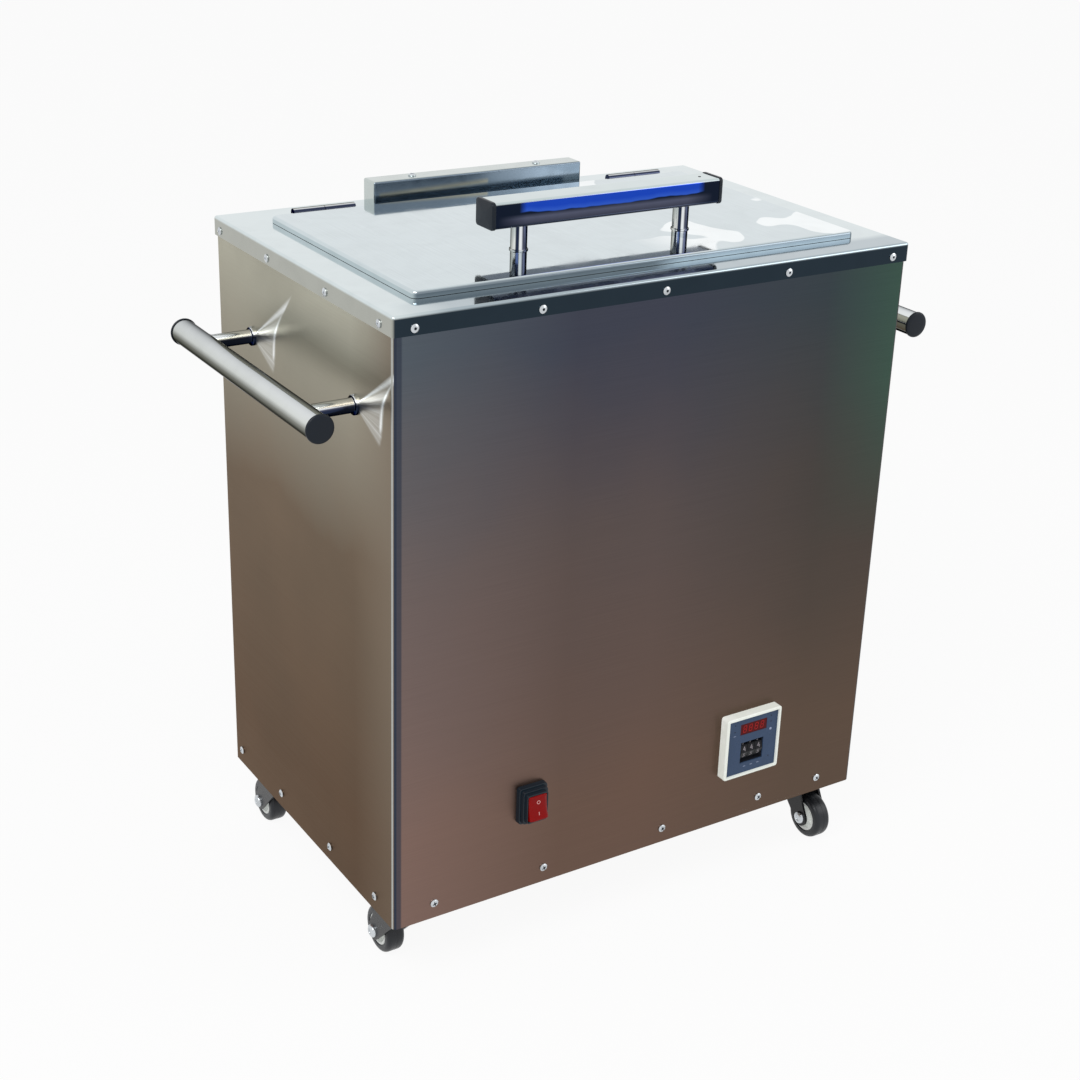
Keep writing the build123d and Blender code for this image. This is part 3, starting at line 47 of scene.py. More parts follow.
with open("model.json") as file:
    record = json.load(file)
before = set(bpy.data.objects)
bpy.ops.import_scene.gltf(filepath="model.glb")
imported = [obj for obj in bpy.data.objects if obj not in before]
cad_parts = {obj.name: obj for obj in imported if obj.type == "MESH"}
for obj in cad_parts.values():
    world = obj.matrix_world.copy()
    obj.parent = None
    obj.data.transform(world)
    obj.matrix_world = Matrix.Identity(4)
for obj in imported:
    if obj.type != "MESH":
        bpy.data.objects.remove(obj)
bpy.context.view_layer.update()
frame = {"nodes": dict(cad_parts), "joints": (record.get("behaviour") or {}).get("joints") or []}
nodes = frame["nodes"]
joints = {joint["name"]: joint for joint in frame["joints"]}

MM = 0.001
TAU = 2 * math.pi
X_AXIS, Y_AXIS, Z_AXIS = np.eye(3)
CORNERS = ("front_left", "front_right", "rear_left", "rear_right")
finishes = {}


def box_of(node):
    """Lowest corner, highest corner and middle of a node, as arrays."""
    low, high = (np.array(corner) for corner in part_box(node))
    return low, high, (low + high) / 2


deck_low, deck_high = box_of("deck")[:2]
wrap_low, wrap_high, wrap_mid = box_of("wrap_panel")
lid_low, lid_high = box_of("lid_skin")[:2]
bar_low, bar_high, bar_mid = box_of("lid_handle_bar")
stop_low, stop_high = box_of("lid_stop_bar")[:2]
top, y_front = deck_high[2], deck_low[1]


# ---- sizes and colours a user would change ----------------------------------------------------------
def colour(name, words, *levels):
    """A colour setting, given as it shows on a screen, in levels from 0 to 255."""
    default = [level / 255 for level in levels]
    return FloatVectorProperty(
        name=name, description=words, subtype="COLOR_GAMMA", default=default, min=0, max=1
    )


def length(name, words, value):
    """A length setting, in metres."""
    return FloatProperty(name=name, description=words, default=value, min=0.0, unit="LENGTH")


class HeaterSheet(bpy.types.PropertyGroup):
    """Colours and grain of the sheet steel."""

    lid: colour("Lid", "Mirror-polished lid", 206, 217, 221)
    # Painted reflections: the lid's darker front edge and the bright patches on its right.
    lid_front: colour("Lid, front edge", "Turned-down front edge of the lid", 124, 136, 145)
    lid_patch: colour("Lid, patches", "Bright patches on the lid's right", 249, 253, 254)
    deck: colour("Deck", "Polished deck", 214, 224, 226)
    # Painted reflections: the greyer strip before the lid, the dark front flange and the lighter side
    # flanges.
    deck_front: colour("Deck, front strip", "Deck between its front edge and the lid", 171, 184, 191)
    flange_front: colour("Flange, front", "Turned-down front edge of the deck", 40, 51, 60)
    flange_side: colour("Flange, sides", "Turned-down side edges of the deck", 170, 172, 164)
    # Painted reflections: the front's and the side's tones stand for the room and floor that the brushed
    # sheet reflects, bluish above and warm below.
    left_top: colour("Front, left top", "Brushed front at its upper left", 80, 88, 96)
    left_middle: colour("Front, left middle", "Brushed front at its left, halfway down", 104, 93, 91)
    left_foot: colour("Front, left foot", "Brushed front at its lower left", 122, 99, 91)
    middle_top: colour("Front, top", "Brushed front at its top", 61, 64, 76)
    middle_middle: colour("Front, middle", "Brushed front halfway down", 86, 76, 74)
    middle_foot: colour("Front, foot", "Brushed front at its foot", 100, 80, 70)
    right_top: colour("Front, right top", "Brushed front at its upper right", 54, 63, 68)
    right_middle: colour("Front, right middle", "Brushed front at its right, halfway down", 69, 64, 61)
    right_foot: colour("Front, right foot", "Brushed front at its lower right", 88, 73, 63)
    # Painted reflection: green tone beside the front's upper right edge.
    right_tint: colour("Front, right tint", "Green tint beside the upper right edge", 58, 84, 72)
    side_top: colour("Side, top", "Brushed side at its top", 166, 167, 155)
    side_middle: colour("Side, middle", "Brushed side halfway down", 102, 89, 76)
    side_foot: colour("Side, foot", "Brushed side at its foot", 80, 60, 46)
    # Painted reflection: lighter stretch along the side's front edge.
    side_edge: colour("Side, front edge", "Lighter stretch along the side's front edge", 122, 112, 100)
    # Painted highlight and painted dark reflection along the front corners' bend.
    bend_light: colour("Bend, light", "Light line on the front corners' bend", 178, 180, 176)
    bend_dark: colour("Bend, dark", "Dark line beside it", 54, 61, 75)
    # Painted highlight: the bright flare beside each collar is a lamp's reflection in the side sheet, painted
    # into its colour.
    flare: colour("Flare", "Light thrown on the side by the handle's collars", 238, 243, 244)
    brush_pitch: FloatProperty(
        name="Brush pitch", description="Brush marks per metre of height", default=2600.0, min=100.0
    )


class HeaterMetal(bpy.types.PropertyGroup):
    """Tones that the polished round and square pieces reflect."""

    # Painted reflections and painted highlights: the tube's top, side and underside tones, and the post's
    # dark band and white streak.
    tube_top: colour("Tube, top", "Side handle tube on top", 228, 232, 229)
    tube_side: colour("Tube, side", "Side handle tube halfway down", 168, 169, 163)
    tube_under: colour("Tube, underside", "Side handle tube from below", 92, 76, 66)
    dark: colour("Dark band", "Dark blue band in a polished post", 38, 47, 70)
    bright: colour("Bright band", "White streak in a polished post", 234, 238, 240)
    # Painted reflections on the handle bar: pale top, blue strip with its painted highlight, dark lower front
    # and dark ends.
    bar_top: colour("Bar, top", "Top of the lid's handle bar", 203, 215, 216)
    bar_strip: colour("Bar, strip", "Blue strip along the bar's front", 30, 70, 186)
    bar_glint: colour("Bar, glint", "Lighter blue within the strip", 62, 104, 204)
    bar_front: colour("Bar, front", "Lower half of the bar's front", 82, 86, 106)
    bar_end: colour("Bar, ends", "Dark ends of the bar's front", 22, 30, 46)
    # Painted reflections on the stop bar: slate front, warm patch, pale top and ends.
    stop_front: colour("Stop bar, front", "Front face of the lid's stop bar", 112, 125, 138)
    stop_patch: colour("Stop bar, patch", "Warm patch in its front face", 150, 148, 136)
    stop_top: colour("Stop bar, top", "Top and ends of the stop bar", 196, 204, 202)
    zinc: colour("Zinc", "Plated screws and bolts", 205, 210, 214)
    round_steps: IntProperty(name="Round steps", description="Points round a piece", default=72, min=24)


class HeaterTrim(bpy.types.PropertyGroup):
    """Colours of the plastic and rubber."""

    black: colour("Black plastic", "Caps and gland", 22, 29, 38)
    ivory: colour("Ivory plastic", "Controller case", 226, 230, 223)
    face: colour("Controller face", "Blue film", 58, 78, 108)
    display: colour("Display", "Red window", 76, 11, 13)
    housing: colour("Switch housing", "Glossy black", 24, 36, 46)
    rocker: colour("Rocker", "Glossy red", 140, 10, 10)
    tyre: colour("Tyre", "Dark rubber", 34, 37, 42)
    core: colour("Wheel core", "Pale plastic core", 206, 209, 206)


class HeaterForms(bpy.types.PropertyGroup):
    """Sizes of the finer pieces."""

    socket_flats: length("Socket", "Across the flats of the deck screws' sockets", 2.5 * MM)
    cross_reach: length("Cross", "Length of one arm of a cross recess", 2.3 * MM)
    tube_wall: length("Tube wall", "Wall of the side handle tubes", 1.5 * MM)
    post_radius: length("Post radius", "Side handle posts", 7.0 * MM)
    tyre_width: length("Tyre width", "Across the tread", 20.0 * MM)
    core_radius: length("Core radius", "Inside of the tyre", 17.0 * MM)
    digit_height: length("Digit height", "Numbers on the setting wheels", 5.4 * MM)
    rocker_tilt: FloatProperty(
        name="Rocker tilt", description="Rocker at rest", default=math.radians(9.0), unit="ROTATION"
    )
    ribs: IntProperty(name="Ribs", description="Ribs on a wheel core", default=8, min=3)


class HeaterStudio(bpy.types.PropertyGroup):
    """Camera and lamps."""

    lens: FloatProperty(name="Lens", description="Focal length", default=61.48, unit="CAMERA")
    key: FloatProperty(name="Key lamp", description="Power of the big soft lamp", default=34.0, unit="POWER")
    fill: FloatProperty(name="Fill lamp", description="Power of the second lamp", default=12.0, unit="POWER")
    sky: FloatProperty(name="Sky", description="Strength of the even light", default=0.42, min=0.0)
    floor_glow: FloatProperty(name="Floor glow", description="Share of plain white", default=0.93, max=1.0)


# ---- surfaces as arrays -------------------------------------------------------------------------------
def grid_quads(rows, columns, join_rows=False):
    """Corner numbers of the quads of a grid of points whose columns run round and close."""
    row, column = np.meshgrid(
        np.arange(rows if join_rows else rows - 1), np.arange(columns), indexing="ij"
    )
    next_row, next_column = (row + 1) % rows, (column + 1) % columns
    corners = (row * columns + column, row * columns + next_column)
    corners += (next_row * columns + next_column, next_row * columns + column)
    return np.stack(corners, -1).reshape(-1, 4)


def skin(rings, join_rows=False):
    """Closed skin over rings of points: quads between neighbours, and a fan over each end ring.

    Where join_rows, the last ring joins the first instead, as on a hollow tube. Its faces are turned
    outward: the signed volume under them is made positive."""
    rings = np.asarray(rings, float)
    rows, columns = rings.shape[:2]
    points, faces = rings.reshape(-1, 3), [grid_quads(rows, columns, join_rows)]
    if not join_rows:
        around = np.arange(columns)
        after = (around + 1) % columns
        last = (rows - 1) * columns
        middle = np.full(columns, rows * columns)
        start = np.stack([middle, after, around], -1)
        faces.append(np.concatenate([start, np.stack([middle + 1, last + around, last + after], -1)]))
        points = np.vstack([points, rings[0].mean(0), rings[-1].mean(0)])
    volume = sum(
        np.einsum("ij,ij->", points[group[:, 0]], np.cross(points[group[:, k]], points[group[:, k + 1]]))
        for group in faces
        for k in range(1, group.shape[1] - 1)
    )
    return (points, faces) if volume > 0 else (points, [group[:, ::-1] for group in faces])


def copies(shell, origins, bases=None):
    """The shell once at each origin, its local axes turned to the rows of each basis."""
    points, faces = shell
    origins = np.atleast_2d(np.asarray(origins, float))
    bases = np.broadcast_to(np.eye(3) if bases is None else bases, (len(origins), 3, 3))
    placed = np.einsum("nj,kji->kni", points, bases) + origins[:, None]
    step = (np.arange(len(origins)) * len(points))[:, None, None]
    return placed.reshape(-1, 3), [(group[None] + step).reshape(-1, group.shape[1]) for group in faces]


def joined(*shells):
    """Several shells as one list of points and faces."""
    starts = np.cumsum([0] + [len(points) for points, faces in shells])
    faces = [group + start for (points, groups), start in zip(shells, starts) for group in groups]
    return np.vstack([points for points, groups in shells]), faces


def basis(out, side=Z_AXIS, turn=0.0):
    """Rows of a turned frame: local X along side, local Z along out, and then a turn about local Z."""
    out, side = np.asarray(out, float), np.asarray(side, float)
    across = np.cross(out, side)
    first = math.cos(turn) * side + math.sin(turn) * across
    return np.stack([first, np.cross(out, first), out])


def stacked(rows, steps=None, join_rows=False):
    """A form about local Z: each row is (radius, height), the radius one number or one for each step.

    The point at angle a of a row is (radius cos a, radius sin a, height)."""
    steps = steps or bpy.context.scene.heater_metal.round_steps
    angle = np.linspace(0, TAU, steps, endpoint=False)
    rings = [
        np.column_stack([radius * np.cos(angle), radius * np.sin(angle), np.full(steps, height)])
        for radius, height in rows
    ]
    return skin(rings, join_rows)


def arc(middle, radius, start, end, count):
    """(radius, height) points on a rounded edge, angles in degrees."""
    angle = np.radians(np.linspace(start, end, count))
    return [(middle[0] + radius * math.cos(a), middle[1] + radius * math.sin(a)) for a in angle]


def many_sided(flats, sides, steps):
    """Radius of a regular polygon at each step: half its width over the cosine from the nearest flat."""
    angle = np.linspace(0, TAU, steps, endpoint=False)
    off = (angle + math.pi / sides) % (TAU / sides) - math.pi / sides
    return flats / 2 / np.cos(off)


def cross_sided(reach, half, steps):
    """Radius of a plus sign at each step: the further of its two arms along that direction."""
    angle = np.linspace(0, TAU, steps, endpoint=False)
    along, across = (np.maximum(np.abs(f(angle)), 1e-9) for f in (np.cos, np.sin))
    return np.maximum(
        np.minimum(reach / along, half / across), np.minimum(half / along, reach / across)
    )


def outline(width, depth, corner, per_corner=7):
    """Rounded rectangle: quarter arcs of the corner radius, joined by straight sides."""
    angle = np.linspace(0, TAU / 4, per_corner)[None] + (np.arange(4) * TAU / 4)[:, None]
    sign = np.array([(1, 1), (-1, 1), (-1, -1), (1, -1)])
    centre = sign * (np.array([width, depth]) / 2 - corner)
    ring = centre[:, None] + corner * np.stack([np.cos(angle), np.sin(angle)], -1)
    return ring.reshape(-1, 2)


def lofted(rows):
    """Skin through flat outlines, each at its own height along local Z."""
    return skin([np.column_stack([flat, np.full(len(flat), height)]) for flat, height in rows])


def beaded(path, radius, steps=10):
    """A bead of round section along a closed path.

    The section stands square to the path: one of its axes is the path's direction crossed with Z."""
    path = np.asarray(path, float)
    ahead = np.roll(path, -1, 0) - np.roll(path, 1, 0)
    ahead /= np.linalg.norm(ahead, axis=1)[:, None]
    flat = np.cross(ahead, Z_AXIS)
    flat /= np.linalg.norm(flat, axis=1)[:, None]
    rise = np.cross(flat, ahead)
    angle = np.linspace(0, TAU, steps, endpoint=False)[:, None]
    ring = np.cos(angle) * flat[:, None] + np.sin(angle) * rise[:, None]
    return skin(path[:, None] + radius * ring, join_rows=True)


def glyph(character, height):
    """One character as a flat shell about the origin, drawn in local X and Y."""
    curve = bpy.data.curves.new("glyph", "FONT")
    curve.body, curve.size, curve.resolution_u = character, 1.0, 3
    holder = bpy.data.objects.new("glyph", curve)
    mesh = bpy.data.meshes.new_from_object(holder)
    mesh.calc_loop_triangles()
    points = np.empty(3 * len(mesh.vertices), np.float32)
    mesh.vertices.foreach_get("co", points)
    corners = np.empty(3 * len(mesh.loop_triangles), np.int32)
    mesh.loop_triangles.foreach_get("vertices", corners)
    points = points.reshape(-1, 3).astype(float)
    low, high = points.min(0), points.max(0)
    points = (points - (low + high) / 2) * (height / (high - low)[1])
    bpy.data.objects.remove(holder)
    bpy.data.curves.remove(curve)
    bpy.data.meshes.remove(mesh)
    return points, [corners.reshape(-1, 3)]


def put(name, shell, body, finish, replaces=(), crease=32.0):
    """Make the piece's mesh from its shell, shade it, and set it on its body."""
    points, faces = shell
    mesh = bpy.data.meshes.new(name)
    mesh.vertices.add(len(points))
    mesh.vertices.foreach_set("co", np.ascontiguousarray(points, np.float32).ravel())
    loops = np.concatenate([group.ravel() for group in faces]).astype(np.int32)
    sizes = np.concatenate([np.full(len(group), group.shape[1]) for group in faces])
    mesh.loops.add(len(loops))
    mesh.loops.foreach_set("vertex_index", loops)
    mesh.polygons.add(len(sizes))
    mesh.polygons.foreach_set("loop_start", np.concatenate([[0], np.cumsum(sizes)[:-1]]).astype(np.int32))
    mesh.update(calc_edges=True)
    mesh.validate()
    mesh.polygons.foreach_set("use_smooth", np.ones(len(mesh.polygons), bool))
    mesh.set_sharp_from_angle(angle=math.radians(crease))
    piece = bpy.data.objects.new(name, mesh)
    bpy.context.scene.collection.objects.link(piece)
    mesh.materials.append(finishes[finish])
    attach(piece, body)
    for node in replaces:
        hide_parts(node)
    return piece


# ---- places read from the frame -----------------------------------------------------------------------
def corner_points(node):
    """Every vertex of a node."""
    mesh = nodes[node].data
    flat = np.empty(3 * len(mesh.vertices), np.float32)
    mesh.vertices.foreach_get("co", flat)
    return flat.reshape(-1, 3).astype(float)


def parted(points, gap=4 * MM):
    """Groups of points with more than the gap between them along some axis."""
    for axis in range(3):
        points = points[np.argsort(points[:, axis])]
        jumps = np.flatnonzero(np.diff(points[:, axis]) > gap)
        if len(jumps):
            return [group for chunk in np.split(points, jumps + 1) for group in parted(chunk, gap)]
    return [points]


def head_seats(node):
    """Foot of each screw head in a node, a turned basis for each, and the heads' radius and height.

    A head is flat along its screw's axis, and points away from the cabinet's middle. Each is turned
    2.4 radians further than the one before it."""
    heads = [group for group in parted(corner_points(node)) if np.ptp(group, 0).max() > 6 * MM]
    low = np.array([group.min(0) for group in heads])
    high = np.array([group.max(0) for group in heads])
    span, middle = high - low, (low + high) / 2
    axis = span.argmin(1)
    side = np.sign((middle - wrap_mid)[np.arange(len(axis)), axis])
    outs = np.eye(3)[axis] * side[:, None]
    height = span.min(1)
    turns = 2.4 * np.arange(len(heads))
    bases = [
        basis(out, X_AXIS if abs(out[2]) > 0.5 else Z_AXIS, turn) for out, turn in zip(outs, turns)
    ]
    return middle - outs * height[:, None] / 2, np.array(bases), span.max() / 2, height.max()


# ---- shader building ------------------------------------------------------------------------------------
def shown(levels, gain=1.0):
    """Screen levels as linear light, times a gain, as an opaque colour."""
    levels = np.array(levels[:3], float)
    linear = np.where(levels <= 0.04045, levels / 12.92, ((levels + 0.055) / 1.055) ** 2.4)
    return (*np.clip(linear * gain, 0, 1).tolist(), 1.0)


class Wiring:
    """A node tree being wired: each call adds one node and gives its output."""

    def __init__(self, tree):
        """Keep the tree."""
        self.tree = tree

    def node(self, kind, inputs=None, **settings):
        """A new node with its settings, and its inputs set or linked."""
        made = self.tree.nodes.new(kind)
        for key, value in settings.items():
            setattr(made, key, value)
        for key, value in (inputs or {}).items():
            if isinstance(value, bpy.types.NodeSocket):
                self.tree.links.new(value, made.inputs[key])
            else:
                made.inputs[key].default_value = value
        return made

    def math(self, operation, *values):
        """One Math node."""
        return self.node("ShaderNodeMath", dict(enumerate(values)), operation=operation).outputs[0]

    def times(self, first, second):
        """Product of two values."""
        return self.math("MULTIPLY", first, second)

    def ramp(self, value, low, high, to_low=0.0, to_high=1.0):
        """Value mapped from one range to another, clamped."""
        inputs = {"Value": value, "From Min": low, "From Max": high, "To Min": to_low, "To Max": to_high}
        return self.node("ShaderNodeMapRange", inputs).outputs["Result"]

    def inside(self, value, low, high, soft):
        """1 between low and high, 0 outside, over a soft edge."""
        return self.times(self.ramp(value, low, low + soft), self.ramp(value, high, high - soft))

    def mix(self, share, first, second, blend="MIX"):
        """Two colours mixed by a share."""
        return self.node(
            "ShaderNodeMix", {0: share, 6: first, 7: second}, data_type="RGBA", blend_type=blend
        ).outputs[2]

    def split(self, vector):
        """X, Y and Z of a vector."""
        return self.node("ShaderNodeSeparateXYZ", {0: vector}).outputs

    def field(self, value, *stops):
        """Colour by value, through stops of (value, colour)."""
        made = self.node("ShaderNodeValToRGB", {0: value})
        elements = made.color_ramp.elements
        for _ in stops[2:]:
            elements.new(0.5)
        for element, (position, tone) in zip(elements, stops):
            element.position = position
        for element, (position, tone) in zip(elements, stops):
            element.color = tone
        return made.outputs[0]

    def noise(self, vector, scale, detail=2.0, **more):
        """Value of a noise texture."""
        inputs = {"Vector": vector, "Scale": scale, "Detail": detail}
        return self.node("ShaderNodeTexNoise", inputs | more).outputs["Fac"]

    def group(self, name, **inputs):
        """Outputs of a placed group."""
        made = self.tree.nodes.new("ShaderNodeGroup")
        made.node_tree = bpy.data.node_groups[name]
        for key, value in inputs.items():
            if isinstance(value, bpy.types.NodeSocket):
                self.tree.links.new(value, made.inputs[key])
            else:
                made.inputs[key].default_value = value
        return made.outputs

    def grey(self, value):
        """A value as a colour."""
        return self.node("ShaderNodeCombineColor", {0: value, 1: value, 2: value}).outputs[0]


def new_group(name, inputs, outputs):
    """An empty shader group with named sockets, and its wiring, inputs and outputs."""
    group = bpy.data.node_groups.new(name, "ShaderNodeTree")
    for socket, kind, value in inputs:
        made = group.interface.new_socket(socket, in_out="INPUT", socket_type=f"NodeSocket{kind}")
        if value is not None:
            made.default_value = value
    for socket in outputs:
        group.interface.new_socket(socket, in_out="OUTPUT", socket_type="NodeSocketFloat")
    given = group.nodes.new("NodeGroupInput").outputs
    return Wiring(group), given, group.nodes.new("NodeGroupOutput").inputs


def brushed_group():
    """Fine marks along the sheet, and slow clouds."""
    wiring, given, out = new_group(
        "Brushed grain", [("Vector", "Vector", None), ("Pitch", "Float", 2600.0)], ["Streak", "Cloud"]
    )
    x, y, z = wiring.split(given["Vector"])
    stretched = {
        0: wiring.times(x, 9.0),
        1: wiring.times(y, 9.0),
        2: wiring.times(z, given["Pitch"]),
    }
    along = wiring.node("ShaderNodeCombineXYZ", stretched).outputs[0]
    wiring.tree.links.new(wiring.noise(along, 1.0, 3.0), out["Streak"])
    wiring.tree.links.new(wiring.noise(given["Vector"], 4.5, 4.0), out["Cloud"])


def handling_group():
    """Smudges and slow waves of polished metal."""
    wiring, given, out = new_group(
        "Handling marks", [("Vector", "Vector", None), ("Scale", "Float", 30.0)], ["Smudge", "Wave"]
    )
    smudge = wiring.noise(given["Vector"], given["Scale"], 6.0, Distortion=0.8)
    wiring.tree.links.new(wiring.ramp(smudge, 0.42, 0.70), out["Smudge"])
    wiring.tree.links.new(wiring.noise(given["Vector"], 7.0, 1.0), out["Wave"])


def moulded_group():
    """Grain and dust of moulded plastic, rubber and coating."""
    wiring, given, out = new_group(
        "Moulded grain", [("Vector", "Vector", None), ("Scale", "Float", 900.0)], ["Grain", "Dust"]
    )
    wiring.tree.links.new(wiring.noise(given["Vector"], given["Scale"]), out["Grain"])
    dust = wiring.noise(given["Vector"], 60.0, 5.0)
    wiring.tree.links.new(wiring.ramp(dust, 0.5, 0.8), out["Dust"])


def start_finish(name, **constants):
    """A new material: its wiring, its shader's sockets, and the piece's own place and facing."""
    material = bpy.data.materials.new(name)
    material.use_nodes = True
    wiring = Wiring(material.node_tree)
    shader = material.node_tree.nodes["Principled BSDF"]
    for key, value in constants.items():
        shader.inputs[key.replace("_", " ")].default_value = value
    given = material.node_tree.nodes.new("ShaderNodeTexCoord").outputs
    finishes[name] = material
    return wiring, shader.inputs, given["Object"], given["Normal"]


def wire(wiring, sockets, base, roughness, height, strength, distance):
    """Base colour, roughness and bump into the shader."""
    bump = wiring.node("ShaderNodeBump", {"Height": height, "Strength": strength, "Distance": distance})
    for output, socket in ((base, "Base Color"), (roughness, "Roughness"), (bump.outputs[0], "Normal")):
        wiring.tree.links.new(output, sockets[socket])


# ---- finishes -------------------------------------------------------------------------------------------
# A surface in this studio shows its tone times the number under the bar, so the tone is divided by it.
FRONT_GAIN, SIDE_GAIN, POLISHED_GAIN = 1 / 0.88, 1 / 0.94, 1 / 1.04


def collar_flares(wiring, place):
    """Light thrown on the side sheet by each collar, shaped like half a trumpet's mouth.

    It fans forward between two angles. Its reach grows as the exponential of the angle towards a
    pointed tip, and its upper and outer edges are the brightest."""
    lowest, highest, tip_angle = -0.5, 0.60, 0.58
    least_reach, tip_reach, growth = 55 * MM, 52 * MM, 7.0
    x, y, z = wiring.split(place)
    low, high, middle = box_of("side_handle_posts")
    collar = (high[2] - low[2]) / 2
    above = wiring.math("SUBTRACT", z, middle[2])
    collar_highlights = 0.0
    for y_post in (low[1] + collar, high[1] - collar):
        ahead = wiring.math("SUBTRACT", y_post, y)
        squares = [wiring.times(part, part) for part in (ahead, above)]
        reach = wiring.math("SQRT", wiring.math("ADD", *squares))
        angle = wiring.math("ARCTAN2", above, ahead)
        climb = wiring.times(wiring.math("SUBTRACT", angle, tip_angle), growth)
        spike = wiring.times(wiring.math("EXPONENT", climb), tip_reach)
        share = wiring.math("DIVIDE", reach, wiring.math("ADD", spike, least_reach))
        rays = wiring.node("ShaderNodeCombineXYZ", {0: wiring.times(angle, 9.0)}).outputs[0]
        rays = wiring.ramp(wiring.noise(rays, 1.0), 0.35, 0.65, 0.12, 0.5)
        body = wiring.times(rays, wiring.inside(angle, lowest, highest, 0.12))
        upper = wiring.times(wiring.inside(angle, highest - 0.10, highest + 0.02, 0.05), 0.9)
        outer = wiring.inside(share, 0.82, 1.0, 0.08)
        outer = wiring.times(outer, wiring.inside(angle, lowest + 0.2, highest + 0.02, 0.2))
        bright = wiring.math("MAXIMUM", body, wiring.math("MAXIMUM", upper, outer))
        within = wiring.ramp(angle, highest + 0.04, highest)
        within = wiring.times(wiring.ramp(share, 1.0, 0.93), within)
        collar_highlights = wiring.math("ADD", collar_highlights, wiring.times(bright, within))
    return collar_highlights


def brushed_finish(sheet):
    """Fine horizontal brushing: the tone warms downward, and a light and a dark line follow the bends."""
    wiring, sockets, place, facing = start_finish(
        "brushed sheet", Metallic=1.0, Anisotropic=0.35, Specular_Tint=(0.84, 0.76, 0.68, 1)
    )
    x, y, z = wiring.split(place)
    marks = wiring.group("Brushed grain", Vector=place, Pitch=sheet.brush_pitch)
    drift = wiring.ramp(marks["Cloud"], 0.3, 0.7, -0.05, 0.05)
    drop = wiring.math("ADD", wiring.ramp(z, wrap_high[2], wrap_low[2]), drift)

    def column(*tones, gain=FRONT_GAIN):
        """Tones near the top, at two fifths and near the foot, mixed by the height."""
        return wiring.field(drop, *zip((0.06, 0.40, 0.86), [shown(tone, gain) for tone in tones]))

    # Painted reflections on the front, in three columns from left to right.
    left = column(sheet.left_top, sheet.left_middle, sheet.left_foot)
    middle = column(sheet.middle_top, sheet.middle_middle, sheet.middle_foot)
    right = column(sheet.right_top, sheet.right_middle, sheet.right_foot)
    half = wiring.mix(wiring.ramp(x, wrap_low[0], wrap_low[0] * 0.35), left, middle)
    front = wiring.mix(wiring.ramp(x, 0.0, wrap_high[0] * 0.7), half, right)
    # Painted reflection: a green tone on the front beside its upper right edge, fading downward.
    tint = wiring.ramp(x, wrap_high[0] * 0.66, wrap_high[0])
    tint = wiring.times(tint, wiring.ramp(drop, 0.5, 0.2, 0.0, 0.8))
    tint = wiring.times(tint, wiring.ramp(wiring.split(facing)[1], -0.2, -0.6))
    front = wiring.mix(tint, front, shown(sheet.right_tint, FRONT_GAIN))
    # Painted reflections on the sides, in lighter tones than the front's.
    side = column(sheet.side_top, sheet.side_middle, sheet.side_foot, gain=SIDE_GAIN)
    clouds = wiring.ramp(marks["Cloud"], 0.35, 0.65, 0.86, 1.14)
    side = wiring.mix(1.0, side, wiring.grey(clouds), "MULTIPLY")
    # Painted reflection: the side lighter along its front edge, less so towards the foot.
    edge = wiring.ramp(y, wrap_low[1] + 80 * MM, wrap_low[1])
    edge = wiring.times(edge, wiring.ramp(drop, 0.2, 0.9, 0.9, 0.35))
    side = wiring.mix(edge, side, shown(sheet.side_edge, SIDE_GAIN))
    # Painted highlight beside each collar.
    side = wiring.mix(collar_flares(wiring, place), side, shown(sheet.flare, SIDE_GAIN))
    across, along = (wiring.math("ABSOLUTE", part) for part in wiring.split(facing)[:2])
    # Painted light: the sides take their lighter painted tones and the front its darker ones, by which way
    # the sheet faces.
    base = wiring.mix(wiring.ramp(across, 0.35, 0.9), front, side)
    # Painted highlight and painted dark reflection on the front corners' bend, picked by how the bend faces,
    # and a painted dark band on the front beside its left corner.
    near = wiring.ramp(y, wrap_low[1] + 8 * MM, wrap_low[1] + 5 * MM)
    light = wiring.times(near, wiring.inside(along, 0.12, 0.62, 0.1))
    band = wiring.inside(x, wrap_low[0] + 1.5 * MM, wrap_low[0] + 9 * MM, 1.5 * MM)
    band = wiring.times(band, 0.75)
    dark = wiring.math("MAXIMUM", wiring.inside(along, 0.66, 0.99, 0.05), band)
    dark = wiring.times(near, dark)
    base = wiring.mix(light, base, shown(sheet.bend_light))
    base = wiring.mix(dark, base, shown(sheet.bend_dark))
    shade = wiring.grey(wiring.ramp(marks["Streak"], 0.3, 0.7, 0.94, 1.06))
    base = wiring.mix(1.0, base, shade, "MULTIPLY")
    roughness = wiring.ramp(marks["Streak"], 0.3, 0.7, 0.28, 0.38)
    wire(wiring, sockets, base, roughness, marks["Streak"], 0.06, 0.2 * MM)


def polish(wiring, sockets, place, base, roughness=0.05, wave=0.08):
    """Handling marks over a polished tone."""
    marks = wiring.group("Handling marks", Vector=place)
    dulled = wiring.mix(wiring.times(marks["Smudge"], 0.10), base, (0.5, 0.5, 0.5, 1), "MULTIPLY")
    smudged = wiring.ramp(marks["Smudge"], 0, 1, roughness, roughness + 0.06)
    wire(wiring, sockets, dulled, smudged, marks["Wave"], wave, 2 * MM)


